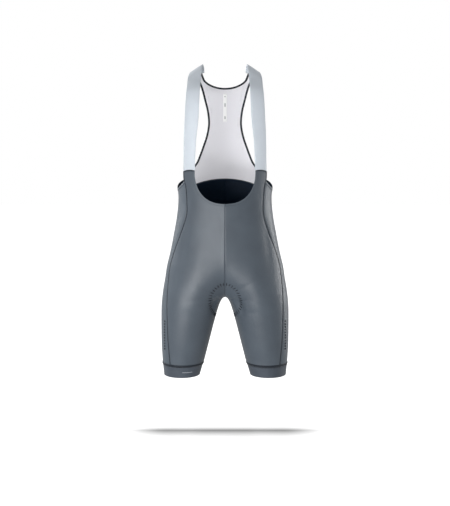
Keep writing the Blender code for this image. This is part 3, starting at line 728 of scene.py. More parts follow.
def gridCloth(name, grid, normals, looks, wall=None, closed=False, guide=0):
    held = ~np.isnan(grid[..., 0])
    number = np.where(held, np.cumsum(held.ravel()).reshape(held.shape) - 1, -1)
    row = grid[guide]
    if closed:
        number = np.concatenate([number, number[:, :1]], 1)
        row = np.concatenate([row, row[:1]])
    u = np.append(0, np.cumsum(np.linalg.norm(np.diff(row, axis=0), axis=-1)))
    v = np.append(0, np.cumsum(np.linalg.norm(np.diff(grid[:, -1], axis=0), axis=-1)))
    uv = np.stack(np.broadcast_arrays(u[None, :], v[:, None]), -1)

    faces = cellCorners(number).reshape(-1, 4)
    faceUvs = cellCorners(uv).reshape(-1, 4, 2)
    whole = (faces >= 0).all(1)
    made = makeMesh(name, grid[held], faces[whole], faceUvs[whole], looks, normals[held])
    if wall:
        thick = made.modifiers.new("wall", "SOLIDIFY")
        thick.thickness = wall
        thick.offset = -1
        # inner faces and cut edges take the last look, which for the panels is the inside lycra
        # with its painted shade
        thick.material_offset = len(looks) - 1
        thick.material_offset_rim = len(looks) - 1
    return made


def pathFrame(path, normals, closed=False):   # across and normal directions along a path
    if closed:
        along = np.roll(path, -1, 0) - np.roll(path, 1, 0)
    else:
        along = np.gradient(path, axis=0)
    along = unit(along)
    across = unit(np.cross(along, normals))
    return along, across, unit(np.cross(across, along))


def sweep(name, path, normals, section, look, closed=False):   # a closed section along a path
    along, across, out = pathFrame(path, normals, closed)
    section = np.asarray(section)
    rings = (path[:, None] + across[:, None] * section[None, :, :1]
             + out[:, None] * section[None, :, 1:])
    count, sides = rings.shape[:2]
    number = np.arange(count * sides).reshape(count, sides)
    number = np.concatenate([number, number[:, :1]], 1)
    if closed:
        number = np.concatenate([number, number[:1]])
    loop = np.append(section, section[:1], 0)
    u = np.append(0, np.cumsum(np.linalg.norm(np.diff(loop, axis=0), axis=-1)))
    ends = np.append(path, path[:1], 0) if closed else path
    v = np.append(0, np.cumsum(np.linalg.norm(np.diff(ends, axis=0), axis=-1)))
    uv = np.stack(np.broadcast_arrays(u[None, :], v[:, None]), -1)

    faces = cellCorners(number).reshape(-1, 4)
    faceUvs = cellCorners(uv).reshape(-1, 4, 2)
    facing = np.repeat(out[:, None], sides, 1) * np.sign(section[None, :, 1:] + 1e-9)
    made = makeMesh(name, rings.reshape(-1, 3), faces, faceUvs, [look], facing.reshape(-1, 3))
    if not closed:   # fills both ends
        editable = made.data
        keep = [list(polygon.vertices) for polygon in editable.polygons]
        oldUvs = [tuple(spot.vector) for spot in editable.uv_layers["cloth"].uv]
        caps = [list(range(sides)), list(range((count - 1) * sides, count * sides))]
        flipped = keep[0][0] > keep[0][1]
        caps[0 if not flipped else 1].reverse()
        editable.clear_geometry()
        editable.from_pydata((rings.reshape(-1, 3) + drop).tolist(), [], keep + caps)
        layer = editable.uv_layers.new(name="cloth")
        oldUvs += [(0.0, 0.0)] * (2 * sides)
        layer.uv.foreach_set("vector", np.asarray(oldUvs, np.float32).ravel())
        editable.shade_smooth()
    return made


def ovalSection(width, height, sideShift=0.0, lift=0.0, sides=10):   # a flat rounded section
    turn = np.linspace(0, 2 * np.pi, sides, endpoint=False)
    across = np.sign(np.cos(turn)) * np.abs(np.cos(turn)) ** 0.7 * width / 2 + sideShift
    out = np.sign(np.sin(turn)) * np.abs(np.sin(turn)) ** 0.8 * height / 2 + lift
    return np.column_stack([across, out])


def resample(path, normals, spacing):   # even steps along a path
    lengths = np.append(0, np.cumsum(np.linalg.norm(np.diff(path, axis=0), axis=-1)))
    count = max(int(lengths[-1] / spacing), 2)
    spots = np.linspace(0, lengths[-1], count + 1)
    even = np.stack([np.interp(spots, lengths, path[:, k]) for k in range(3)], -1)
    evenNormals = np.stack([np.interp(spots, lengths, normals[:, k]) for k in range(3)], -1)
    return even, unit(evenNormals)


def stitchRow(path, normals, pitch, length, thick, slant=0.0, shift=0.0, lift=0.0, zigzag=0.0):
    # Short threads along a path: centres and directions, for stitchMesh to join.
    even, evenNormals = resample(path, normals, pitch)
    along, across, out = pathFrame(even, evenNormals)
    middles = (even[1:] + even[:-1]) / 2
    along, across, out = along[1:], across[1:], out[1:]
    swing = np.where(np.arange(len(middles)) % 2 == 0, 1, -1)[:, None] * zigzag
    middles = middles + across * shift + out * lift
    heading = unit(along * (math.cos(slant) + swing) + across * math.sin(slant))
    return middles, heading, out, length, thick


def stitchMesh(name, rows, look):   # all of a piece's threads as one mesh
    stations = ((-1.0, 0.35, -0.5), (-0.62, 0.9, 0.0), (0.62, 0.9, 0.0), (1.0, 0.35, -0.5))
    sides = 6
    turn = np.linspace(0, 2 * np.pi, sides, endpoint=False)
    template = np.array([(x, radius * math.cos(a), radius * math.sin(a) + sink)
                         for x, radius, sink in stations for a in turn])
    number = np.arange(len(stations) * sides).reshape(len(stations), sides)
    quads = []
    for k in range(len(stations) - 1):
        for side in range(sides):
            after = (side + 1) % sides
            quads.append((number[k, side], number[k + 1, side],
                          number[k + 1, after], number[k, after]))
    caps = [tuple(number[0]), tuple(number[-1][::-1])]
    points, faces, total = [], [], 0
    for middles, heading, out, length, thick in rows:
        sideways = np.cross(out, heading)
        placed = (middles[:, None] + heading[:, None] * template[None, :, :1] * length / 2
                  + sideways[:, None] * template[None, :, 1:2] * thick / 2
                  + out[:, None] * template[None, :, 2:] * thick / 2)
        for k in range(len(middles)):
            start = total + k * len(template)
            faces += [[start + corner for corner in face] for face in quads + caps]
        total += len(middles) * len(template)
        points.append(placed.reshape(-1, 3))
    mesh = bpy.data.meshes.new(name)
    mesh.from_pydata((np.concatenate(points) + drop).tolist(), [], faces)
    layer = mesh.uv_layers.new(name="cloth")
    corner = np.zeros(len(mesh.loops), np.int32)
    mesh.loops.foreach_get("vertex_index", corner)
    spots = np.tile(template[:, :2], (total // len(template), 1)) * 0.001
    layer.uv.foreach_set("vector", spots[corner].astype(np.float32).ravel())
    mesh.materials.append(look)
    mesh.shade_smooth()
    made = bpy.data.objects.new(name, mesh)
    bpy.context.scene.collection.objects.link(made)
    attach(made, "root")
    return made


# Front panels
frontCut = {
    "rowSpacing": 0.0032,
    "centreColumns": 24,
    "hornColumns": 20,
    "fanRows": 26,
    "cornerRows": 9,
    "hornRows": 9,
    "neckLow": 0.4916,
    "neckDepth": 0.0895,
    "neckHalf": 0.0820,
    "neckPower": 2.4,
    "neckTurn": 0.063,
    "hornInner": 0.0818,
    "hornHeight": 0.5770,
    "hornSlope": -0.003,
    "hornArch": 0.003,
    "wall": 0.0009,
    "flat": (0.235, 0.560),
    "area": 0.078,
}
fanStart = levelTable[-1][0]
centreLevels = np.arange(form["bandHeight"], fanStart - 0.001, frontCut["rowSpacing"])
centreLevels = np.append(centreLevels, fanStart)
seamLevels = readTable(levelTable, centreLevels, 1)


def neckHeight(x):
    flat = 1 - np.minimum(x / frontCut["neckHalf"], 1) ** frontCut["neckPower"]
    return frontCut["neckLow"] + frontCut["neckDepth"] * (1 - flat ** (1 / frontCut["neckPower"]))


def neckX(heights):
    rise = 1 - np.clip((heights - frontCut["neckLow"]) / frontCut["neckDepth"], 0, 1)
    power = frontCut["neckPower"]
    width = frontCut["neckHalf"] * (1 - rise ** power) ** (1 / power)
    return np.minimum(width, frontCut["hornInner"])


def frontSeamAngle(heights):
    return -angleAt(readTable(seamTable, heights, 1), heights)


def backSeamAngle(heights):
    return angleAt(readTable(seamTable, heights, 2), heights)


def levelGrid(shares):   # row heights below the waist, tilted between centre and side seam
    bend = shares * (2 - shares)
    return mix(centreLevels[:, None], seamLevels[:, None], bend[None, :])


def frontPoint(heights, shares):
    return sharePoint(heights, -centreAngle(heights), frontSeamAngle(heights), shares)


def hornPoint(heights, shares):
    return sharePoint(heights, -angleAt(neckX(heights), heights), frontSeamAngle(heights), shares)


def hornTop(share):
    return (frontCut["hornHeight"] + frontCut["hornSlope"] * (share - 0.5)
            + 4 * frontCut["hornArch"] * share * (1 - share))


def frontGrid():
    turnHeight = neckHeight(np.array(frontCut["neckTurn"]))
    trial = np.linspace(0, 1, 400)
    reached = frontPoint(np.full(400, turnHeight), trial)[:, 0]
    turnShare = np.interp(frontCut["neckTurn"], reached, trial)
    shares = np.concatenate([np.linspace(0, turnShare, frontCut["centreColumns"],
                                         endpoint=False),
                             np.linspace(turnShare, 1, frontCut["hornColumns"] + 1)])
    rows = [frontPoint(levelGrid(shares), shares[None, :] + 0 * levelGrid(shares))]
    tops = np.full(len(shares), frontCut["neckLow"])
    for _ in range(14):
        tops = neckHeight(frontPoint(tops, shares)[:, 0])
    tops[frontCut["centreColumns"]:] = turnHeight
    steps = np.arange(1, frontCut["fanRows"] + 1)[:, None] / frontCut["fanRows"]
    heights = mix(fanStart, tops[None, :], steps)
    rows.append(frontPoint(heights, shares[None, :] + 0 * heights))
    hornShares = np.linspace(0, 1, frontCut["hornColumns"] + 1)
    corner = sideCut["topFront"]
    cornerSteps = np.arange(1, frontCut["cornerRows"] + 1) / frontCut["cornerRows"]
    lower = mix(turnHeight, corner, cornerSteps)
    lower = np.repeat(lower[:, None], len(hornShares), 1)
    upper = mix(corner, hornTop(hornShares)[None, :],
                np.arange(1, frontCut["hornRows"] + 1)[:, None] / frontCut["hornRows"])
    heights = np.concatenate([lower, upper])
    horn = hornPoint(heights, hornShares[None, :] + 0 * heights)
    blank = np.full((len(horn), frontCut["centreColumns"], 3), np.nan)
    rows.append(np.concatenate([blank, horn], 1))
    return np.concatenate(rows)


# Side panels
sideCut = {
    "columns": 26,
    "cornerRows": 9,
    "topLow": 0.5250,
    "topFront": 0.5500,
    "topBack": 0.5490,
    "topPower": 1.7,        # how late the top edge rises in front, and behind
    "topBackPower": 0.75,
    "wall": 0.0009,
    "flat": (0.155, 0.525),
    "area": 0.058,
}
backCut = {
    "columns": 44,
    "seamHeight": 0.5460,
    "seamDrop": 0.0240,
    "seamHalf": 0.1090,
    "wall": 0.0009,
    "flat": (0.235, 0.520),
    "area": 0.0755,
}


def backSeamHeight(x):
    return backCut["seamHeight"] - backCut["seamDrop"] * (x / backCut["seamHalf"]) ** 2


def sideTop(share):
    corner = np.where(share < 0.5, sideCut["topFront"], sideCut["topBack"])
    power = np.where(share < 0.5, sideCut["topPower"], sideCut["topBackPower"])
    return mix(sideCut["topLow"], corner, np.abs(2 * share - 1) ** power)


def sideGrid():
    shares = np.linspace(0, 1, sideCut["columns"] + 1)
    middles = mix(neckHeight(np.array(frontCut["neckTurn"])),
                  backSeamHeight(np.array(backCut["seamHalf"])), shares)
    lower = np.repeat(seamLevels[:, None], len(shares), 1)
    fan = mix(fanStart, middles[None, :],
              np.arange(1, frontCut["fanRows"] + 1)[:, None] / frontCut["fanRows"])
    top = mix(middles[None, :], sideTop(shares)[None, :],
              np.arange(1, sideCut["cornerRows"] + 1)[:, None] / sideCut["cornerRows"])
    heights = np.concatenate([lower, fan, top])
    angles = mix(frontSeamAngle(heights), backSeamAngle(heights), shares[None, :])
    return formPoint(heights, angles)


# Back panels
def backPanelPoint(heights, shares):
    return sharePoint(heights, centreAngle(heights), backSeamAngle(heights), shares)


def backGrid():
    shares = np.linspace(0, 1, backCut["columns"] + 1)
    lower = levelGrid(shares)
    tops = np.full(len(shares), backCut["seamHeight"])
    for _ in range(14):
        tops = backSeamHeight(backPanelPoint(tops, shares)[:, 0])
    fan = mix(fanStart, tops[None, :],
              np.arange(1, frontCut["fanRows"] + 1)[:, None] / frontCut["fanRows"])
    heights = np.concatenate([lower, fan])
    return backPanelPoint(heights, shares[None, :] + 0 * heights)


def replace(made, node):
    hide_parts(node)
    return made


panels = {}
for side in ("left", "right"):
    for part, grid, sewn, look, slotName, cut in (
            ("front", frontGrid(), (1,), lycraFace, "panel_lycra", frontCut),
            ("side", sideGrid(), (0, 1), lycraSide, "side_lycra", sideCut),
            ("back", backGrid(), (1,), lycraFace, "panel_lycra", backCut)):
        cloth, normals = shaped(grid if side == "left" else mirrored(grid), sewn)
        made = gridCloth(f"{part}Panel_{side}", cloth, normals, [look, lycraInside], cut["wall"],
                         guide=len(centreLevels) - 1)
        replace(made, f"{part}_{side}")
        panels[part, side] = (made, cloth, normals)
print("panels made:", len(panels))

# Flatlock seams and turned edges
seamLook = {
    "ribbonWidth": 0.0042,
    "ribbonHeight": 0.0013,
    "quietWidth": 0.0014,
    "quietHeight": 0.0007,
    "stitchPitch": 0.0024,
    "stitchLength": 0.0030,
    "stitchThick": 0.0007,
    "stitchSlant": 0.95,
    "edgeWidth": 0.0056,
    "edgeHeight": 0.0013,
    "edgeStitchIn": 0.0050,
    "edgePitch": 0.0030,
    "edgeLength": 0.0024,
}


def flatlock(name, path, normals, slotName, width=seamLook["ribbonWidth"],
             height=seamLook["ribbonHeight"], look=None, threads=None):
    # a flat covered seam with slanting cover threads
    look = look or threadDark
    even, evenNormals = resample(path, normals, 0.0035)
    ribbon = sweep(f"{name}_cover", even, evenNormals, ovalSection(width, height), look)
    rows = [stitchRow(path, normals, seamLook["stitchPitch"], seamLook["stitchLength"] * width
                      / seamLook["ribbonWidth"], seamLook["stitchThick"], slant=angle,
                      lift=height / 2)
            for angle in (seamLook["stitchSlant"], -seamLook["stitchSlant"])]
    thread = stitchMesh(f"{name}_threads", rows, threads or look)
    return [ribbon, thread]


def turnedEdge(name, path, normals, side, look, slotName):
    # a narrow folded edge with one row of stitches inside it; side is which way the cloth lies
    even, evenNormals = resample(path, normals, 0.0030)
    section = ovalSection(seamLook["edgeWidth"], seamLook["edgeHeight"],
                          side * (seamLook["edgeWidth"] / 2 - 0.0006), 0.0001)
    fold = sweep(f"{name}_fold", even, evenNormals, section, look)
    row = stitchRow(path, normals, seamLook["edgePitch"], seamLook["edgeLength"],
                    seamLook["stitchThick"] * 1.3, shift=side * seamLook["edgeStitchIn"],
                    lift=0.0002)
    thread = stitchMesh(f"{name}_stitches", [row], threadDark)
    return [fold, thread]


def clean(path, normals):   # leaves out blank cells and points that repeat
    held = ~np.isnan(path[:, 0])
    path, normals = path[held], normals[held]
    keep = np.append(True, np.linalg.norm(np.diff(path, axis=0), axis=-1) > 1e-5)
    return path[keep], normals[keep]


trims = {}
for side in ("left", "right"):
    sign = 1 if side == "left" else -1
    made, cloth, normals = panels["front", side]
    trims["front", side] = flatlock(f"frontSeam_{side}", *clean(cloth[:, -1], normals[:, -1]),
                                    "edge_binding")
    fanTop = len(centreLevels) + frontCut["fanRows"] - 1
    first = frontCut["centreColumns"]
    neckPath = np.concatenate([cloth[fanTop, :first], cloth[fanTop:, first]])
    neckNormals = np.concatenate([normals[fanTop, :first], normals[fanTop:, first]])
    trims["front", side] += turnedEdge(f"neckEdge_{side}", *clean(neckPath, neckNormals), sign,
                                       lycraSide, "panel_lycra")
    made, cloth, normals = panels["side", side]
    trims["side", side] = turnedEdge(f"sideEdge_{side}", *clean(cloth[-1], normals[-1]), sign,
                                     lycraSide, "side_lycra")
    trims["side", side] += flatlock(f"backSideSeam_{side}", *clean(cloth[:, -1], normals[:, -1]),
                                    "edge_binding")
    made, cloth, normals = panels["front", side]
    inseam = centreLevels < 0.2216
    inseamNormals = normals[:len(centreLevels), 0][inseam]
    trims["front", side] += flatlock(f"inseam_{side}", *clean(cloth[:len(centreLevels), 0][inseam],
                                                              inseamNormals), "edge_binding",
                                     width=seamLook["quietWidth"] * 2,
                                     height=seamLook["quietHeight"])
made, cloth, normals = panels["front", "left"]
above = (cloth[:, 0, 2] > 0.2212)
trims["front", "left"] += flatlock("centreFrontSeam", *clean(cloth[above, 0], normals[above, 0]),
                                   "panel_lycra", seamLook["quietWidth"],
                                   seamLook["quietHeight"], threadQuiet)
made, cloth, normals = panels["back", "left"]
above = (cloth[:, 0, 2] > 0.2212)
trims["back", "left"] = flatlock("centreBackSeam", *clean(cloth[above, 0], normals[above, 0]),
                                 "edge_binding")
trims["back", "right"] = []
print("seams sewn:", sum(len(found) for found in trims.values()))

# Hem bands
hemBand = {
    "columns": 168,
    "rows": 15,
    "wall": 0.0014,
    "flat": (0.345, 0.034),     # one layer of knit, worn a little stretched
    "seamWidth": 0.0072,
    "seamHeight": 0.0020,
    "coverPitch": 0.0026,
    "coverLength": 0.0042,
    "threadThick": 0.0008,
    "markSide": "right",
    "markLength": 0.028,        # a plain bar of reflective print on the front
    "markWidth": 0.0014,
    "markHeight": 0.0150,
    "markX": -0.106,
}


def bandGrid():
    angles = np.linspace(-np.pi, np.pi, hemBand["columns"], endpoint=False)
    heights = np.linspace(0, form["bandHeight"], hemBand["rows"] + 1)
    return formPoint(heights[:, None] + 0 * angles[None, :],
                     angles[None, :] + 0 * heights[:, None])


def hemPuckers(grid):   # gathers that fade out down the band
    turn = np.arctan2(grid[..., 1], np.abs(grid[..., 0]) - 0.118)
    wave = np.sin(turn * 23 + 1.3 * np.sin(turn * 5)) + 0.6 * np.sin(turn * 41 + 2)
    return 0.00022 * wave * np.clip(grid[..., 2] / form["bandHeight"], 0, 1) ** 2


for side in ("left", "right"):
    grid = bandGrid() if side == "left" else mirrored(bandGrid())
    normals = outward(grid)
    cloth = grid + normals * (hemPuckers(grid) - 0.0004)[..., None]
    band = gridCloth(f"hemBand_{side}", cloth, normals, [hemElastic], hemBand["wall"],
                     closed=True)
    replace(band, f"hem_band_{side}")
    seam = sweep(f"hemSeam_{side}_cover", grid[-1], normals[-1],
                 ovalSection(hemBand["seamWidth"], hemBand["seamHeight"]), foldedTape, closed=True)
    fold = sweep(f"hemFold_{side}", cloth[0] - normals[0] * hemBand["wall"] / 2, normals[0],
                 ovalSection(0.0030, hemBand["wall"] + 0.0006, sides=12), hemElastic, closed=True)
    loopPath = np.append(grid[-1], grid[-1][:1], 0)
    loopNormals = np.append(normals[-1], normals[-1][:1], 0)
    rows = [stitchRow(loopPath, loopNormals, hemBand["coverPitch"], hemBand["coverLength"],
                      hemBand["threadThick"], slant=angle, lift=hemBand["seamHeight"] / 2)
            for angle in (seamLook["stitchSlant"], -seamLook["stitchSlant"])]
    rows.append(stitchRow(loopPath, loopNormals, seamLook["edgePitch"], seamLook["edgeLength"],
                          hemBand["threadThick"], shift=seamLook["edgeStitchIn"], lift=0.0002))
    threads = stitchMesh(f"hemSeam_{side}_threads", rows, threadDark)
    trims["hem", side] = [seam, fold, threads]
    if side == hemBand["markSide"]:
        spots = hemBand["markX"] + np.linspace(-0.5, 0.5, 13) * hemBand["markLength"]
        heights = np.full(len(spots), hemBand["markHeight"])
        path = mirrored(formPoint(heights, -angleAt(np.abs(spots), heights)))
        mark = sweep("hemMark", path, outward(path),
                     ovalSection(hemBand["markWidth"], 0.0005, sides=8), threadPale)
        trims["hem", side].append(mark)
print("hem bands made")

# Straps
strapCut = {
    "columns": 12,
    "steps": 12,
    "wall": 0.0010,
    "endInner": 0.0580,
    "endOuter": 0.0885,
    "endHeight": 0.8450,
    "endSlope": -0.0070,
    "liftDepth": 0.5,
    "liftHeight": 0.76,
    "flat": (0.033, 0.365),
    "edgeWidth": 0.0016,
    "edgeHeight": 0.0015,
}


def curveThrough(points, steps):   # a smooth curve through each of the stations
    before = np.concatenate([points[:1], points[:-2]])
    start, end = points[:-1], points[1:]
    after = np.concatenate([points[2:], points[-1:]])
    t = (np.arange(steps) / steps)[None, :, None]
    b, s, e, a = (part[:, None] for part in (before, start, end, after))
    curve = 0.5 * (2 * s + (e - b) * t + (2 * b - 5 * s + 4 * e - a) * t ** 2
                   + (3 * s - b - 3 * e + a) * t ** 3)
    return np.concatenate([curve.reshape(-1, 3), points[-1:]])


def strapGrid():
    columns = []
    rows = np.array(strapTable)
    for share in np.linspace(0, 1, strapCut["columns"] + 1):
        points = mix(rows[:, 3:6], rows[:, 0:3], share)
        lift = np.stack([points[:, 0] * strapCut["liftDepth"], points[:, 1],
                         np.maximum(points[:, 2] - strapCut["liftHeight"], 0)], -1)
        points = points + unit(lift) * (rows[:, 6] * 4 * share * (1 - share))[:, None]
        first = hornPoint(np.array([hornTop(share)]), np.array([share]))
        end = backPoint(np.array([mix(strapCut["endInner"], strapCut["endOuter"], share)]),
                        np.array([strapCut["endHeight"] + strapCut["endSlope"] * share]))
        columns.append(curveThrough(np.concatenate([first, points, end]), strapCut["steps"]))
    return np.stack(columns, 1)


def gridNormals(grid):
    along = np.gradient(grid, axis=0)
    across = np.gradient(grid, axis=1)
    return unit(np.cross(across, along))


for side in ("left", "right"):
    grid = strapGrid()
    normals = gridNormals(grid)
    if side == "right":
        grid, normals = mirrored(grid), mirrored(normals)
    strap = gridCloth(f"strap_{side}_webbing", grid, normals, [strapElastic], strapCut["wall"])
    replace(strap, f"strap_{side}")
    edges = []
    for label, column in (("inner", 0), ("outer", -1)):
        even, evenNormals = resample(grid[:, column], normals[:, column], 0.0040)
        edge = sweep(f"strap_{side}_{label}Edge", even, evenNormals,
                     ovalSection(strapCut["edgeWidth"], strapCut["edgeHeight"],
                                 lift=-strapCut["wall"] / 2, sides=8), strapElastic)
        edges.append(edge)
    hornSeam = flatlock(f"strapSeam_{side}", grid[0], normals[0], "edge_binding",
                        width=0.0040, height=0.0018)
    shoulderSeam = flatlock(f"shoulderSeam_{side}", grid[-1], normals[-1], "strap_elastic",
                            width=0.0040, height=0.0018, look=threadPale)
    trims["strap", side] = edges + hornSeam + shoulderSeam
print("straps made")

# Mesh back
meshCut = {
    "rows": 118,
    "neckColumns": 30,
    "shoulderColumns": 7,
    "neckTop": 0.8420,
    "neckDepth": 0.0395,
    "neckHalf": 0.0640,
    "shoulderSlope": -0.006,
    "wall": 0.0008,
    "flat": (0.235, 0.330),
    "area": 0.0385,
    "bindingWidth": 0.0058,
    "bindingHeight": 0.0028,
    "bindingStart": 0.547,
    "fadeRows": 12,         # creases fade out over this many rows at the top and bottom
}
cornerShare = meshCut["neckHalf"] / readTable(meshEdgeTable, np.array(meshCut["neckTop"]), 1)


def meshTop(shares):   # the back neckline, then the shoulder seam
    low = np.full(len(shares), meshCut["neckTop"] - meshCut["neckDepth"])
    high = np.full(len(shares), meshCut["neckTop"])
    for _ in range(30):
        middle = (low + high) / 2
        fall = (meshCut["neckTop"] - middle) / meshCut["neckDepth"]
        edge = meshCut["neckHalf"] * np.sqrt(np.maximum(1 - fall ** 2, 0))
        under = edge < shares * readTable(meshEdgeTable, middle, 1)
        low = np.where(under, middle, low)
        high = np.where(under, high, middle)
    slope = meshCut["shoulderSlope"] * (shares - cornerShare) / (1 - cornerShare)
    return np.where(shares >= cornerShare, meshCut["neckTop"] + slope, high)


def meshGrid():
    neck = cornerShare * np.sin(np.linspace(0, np.pi / 2, meshCut["neckColumns"] + 1))
    shoulder = np.linspace(cornerShare, 1, meshCut["shoulderColumns"] + 1)[1:]
    half = np.concatenate([neck, shoulder])
    shares = np.concatenate([-half[:0:-1], half])
    low = backSeamHeight(shares * backCut["seamHalf"])
    high = meshTop(np.abs(shares))
    steps = np.linspace(0, 1, meshCut["rows"] + 1)[:, None]
    heights = mix(low[None, :], high[None, :], steps)
    return backPoint(shares[None, :] * readTable(meshEdgeTable, heights, 1), heights)


meshCreaseTable = (
    # start x, height, middle x, height, end x, height, depth mm, width mm
    (-0.100, 0.560, -0.060, 0.590, -0.030, 0.640, 0.8, 14),
    (0.096, 0.556, 0.062, 0.592, 0.036, 0.636, 0.7, 13),
    (-0.070, 0.548, -0.030, 0.572, 0.010, 0.580, 0.5, 12),
    (0.020, 0.550, 0.040, 0.575, 0.046, 0.610, 0.4, 11),
    (-0.060, 0.820, -0.048, 0.770, -0.030, 0.720, 0.3, 14),
    (0.062, 0.822, 0.046, 0.768, 0.032, 0.726, 0.3, 13),
)


def meshRelief(points):
    lift = np.zeros(points.shape[:-1])
    for startX, startZ, midX, midZ, endX, endZ, depth, width in meshCreaseTable:
        line = curveLine(backPoint(np.array([startX, midX, endX]),
                                   np.array([startZ, midZ, endZ])), 36)
        distance, share = nearest(points, line)
        fade = np.sin(np.pi * np.clip(0.06 + 0.88 * share, 0, 1))
        lift -= depth / 1000 * fade * np.exp(-(distance * 1000 / width) ** 2)
    return lift


base = meshGrid()
meshNormals = outward(base)
row = np.arange(len(base))
fade = (np.clip(row / meshCut["fadeRows"], 0, 1)
        * np.clip((len(base) - 1 - row) / meshCut["fadeRows"], 0, 1))
meshCloth = base + meshNormals * (meshRelief(base) * fade[:, None])[..., None]
meshBack = gridCloth("meshBack", meshCloth, meshNormals, [meshKnit], meshCut["wall"])
replace(meshBack, "mesh_back")


def meshBinding(name, node, path, normals, side):   # tape folded over the edge, and its stitches
    even, evenNormals = resample(path, normals, 0.0028)
    tape = sweep(f"{name}_tape", even, evenNormals,
                 ovalSection(meshCut["bindingWidth"], meshCut["bindingHeight"],
                             -side * meshCut["bindingWidth"] * 0.30, -meshCut["wall"] / 2),
                 foldedTape)
    replace(tape, node)
    rows = [stitchRow(path, normals, 0.0030, 0.0022, 0.0006, shift=side * 0.0002,
                      lift=height) for height in (0.0009, -0.0017)]
    thread = stitchMesh(f"{name}_stitches", rows, threadDark)
    return [tape, thread]


edgeColumns = meshCut["shoulderColumns"]
neckSlice = slice(edgeColumns, meshCloth.shape[1] - edgeColumns)
meshTrims = meshBinding("neckBinding", "neck_binding", meshCloth[-1, neckSlice],
                        meshNormals[-1, neckSlice], 1)
for side, column, sign in (("left", -1, -1), ("right", 0, 1)):
    free = meshCloth[:, column, 2] > meshCut["bindingStart"]
    meshTrims += meshBinding(f"armholeBinding_{side}", f"armhole_binding_{side}",
                             meshCloth[free, column], meshNormals[free, column], sign)
meshTrims += flatlock("meshSeam", meshCloth[0], meshNormals[0], "edge_binding",
                      width=0.0040, height=0.0024)
print("mesh back made")

# Label
labelTapeCut = {
    "half": 0.0053,
    "low": 0.7075,
    "high": 0.7880,
    "gap": 0.0014,
    "wall": 0.0005,
    "flat": (0.0106, 0.0805),
    "bars": ((0.7800, 0.0030), (0.7560, 0.0100), (0.7200, 0.0080)),   # height, length of each mark
    "barWidth": 0.0022,
}
heights = np.linspace(labelTapeCut["low"], labelTapeCut["high"], 41)
xs = np.linspace(-labelTapeCut["half"], labelTapeCut["half"], 9)
labelGrid = backPoint(xs[None, :] + 0 * heights[:, None], heights[:, None] + 0 * xs[None, :])
labelNormals = outward(labelGrid)
labelCloth = labelGrid - labelNormals * (meshCut["wall"] + labelTapeCut["gap"])
label = gridCloth("neckLabel_tape", labelCloth, -labelNormals, [labelTape], labelTapeCut["wall"])
replace(label, "neck_label")
for number, (height, length) in enumerate(labelTapeCut["bars"]):
    spots = np.linspace(height - length / 2, height + length / 2, 5)
    path = backPoint(0 * spots, spots)
    out = outward(path)
    path = path - out * (meshCut["wall"] + labelTapeCut["gap"])
    bar = sweep(f"neckLabel_mark{number}", path, -out,
                ovalSection(labelTapeCut["barWidth"], 0.0003, sides=8), labelInk)
rows = []
for row in (1, -2):
    rows.append(stitchRow(labelCloth[row], -labelNormals[row], 0.0015, 0.0012, 0.0004,
                          lift=0.0001))
tacks = stitchMesh("neckLabel_tacks", rows, threadPale)

# Seat pad
padChannelTable = (
    # share of the half width, groove depth as a share of the thickness, groove width
    (0.22, 0.45, 0.035),
    (0.60, 0.38, 0.030),
)


def padThickness(t, share):   # crowned foam, thin at its edge, with long channels
    crown = (1 - np.abs(share) ** 3.2) * (1 - np.abs(2 * t - 1) ** 7)
    thick = padShape["thickness"] * (0.20 + 0.80 * np.sqrt(np.clip(crown, 0, 1)))
    for place, depth, width in padChannelTable:
        reach = np.clip(1.15 - np.abs(2 * t - 1) * 1.3, 0, 1)
        for way in (-1, 1):
            thick = thick - (padShape["thickness"] * depth * reach
                             * np.exp(-((share - way * place) / width) ** 2))
    return thick


def padPiece():
    t = np.linspace(0, 1, padShape["rows"] + 1)
    angles = np.radians(mix(padShape["frontAngle"], padShape["backAngle"], t))
    inset = padShape["endInset"]
    roundEnd = np.sqrt(1 - (2 * (inset + (1 - 2 * inset) * t) - 1) ** padShape["endPower"])
    widening = t * t * (3 - 2 * t)
    halves = mix(padShape["frontHalf"], padShape["backHalf"], widening) * roundEnd
    half = marchedPoints(angles, halves, padShape["columns"])
    grid = np.concatenate([mirrored(half[:, :0:-1]), half], 1)
    share = np.linspace(-1, 1, grid.shape[1])
    thick = padThickness(t[:, None], share[None, :])
    normals = outward(grid)
    settle = np.minimum(relief(grid), 0) - padShape["clearance"]   # creases press the pad in
    outer = grid + normals * settle[..., None]
    inner = outer - normals * thick[..., None]
    rows, columns = grid.shape[:2]
    number = np.arange(rows * columns).reshape(rows, columns)
    quads = np.stack([number[:-1, :-1], number[:-1, 1:], number[1:, 1:], number[1:, :-1]],
                     2).reshape(-1, 4)
    rim = np.concatenate([number[0], number[1:, -1], number[-1, -2::-1], number[-2:0:-1, 0]])
    after = np.roll(rim, -1)
    size = rows * columns
    walls = np.stack([rim, rim + size, after + size, after], -1)
    faces = np.concatenate([quads, quads[:, ::-1] + size, walls])
    points = np.concatenate([outer.reshape(-1, 3), inner.reshape(-1, 3)])
    u = share[None, :] * halves[:, None]
    v = t[:, None] * 0.36 + 0 * u
    uv = np.tile(np.stack([u, v], -1).reshape(-1, 2), (2, 1))
    made = makeMesh("seatPad_foam", points, faces, uv[faces], [padCloth])
    middle = np.cross(points[quads[:, 1]] - points[quads[:, 0]],
                      points[quads[:, 3]] - points[quads[:, 0]])
    if (middle * normals.reshape(-1, 3)[quads[:, 0]]).sum() < 0:
        made.data.flip_normals()
    return made


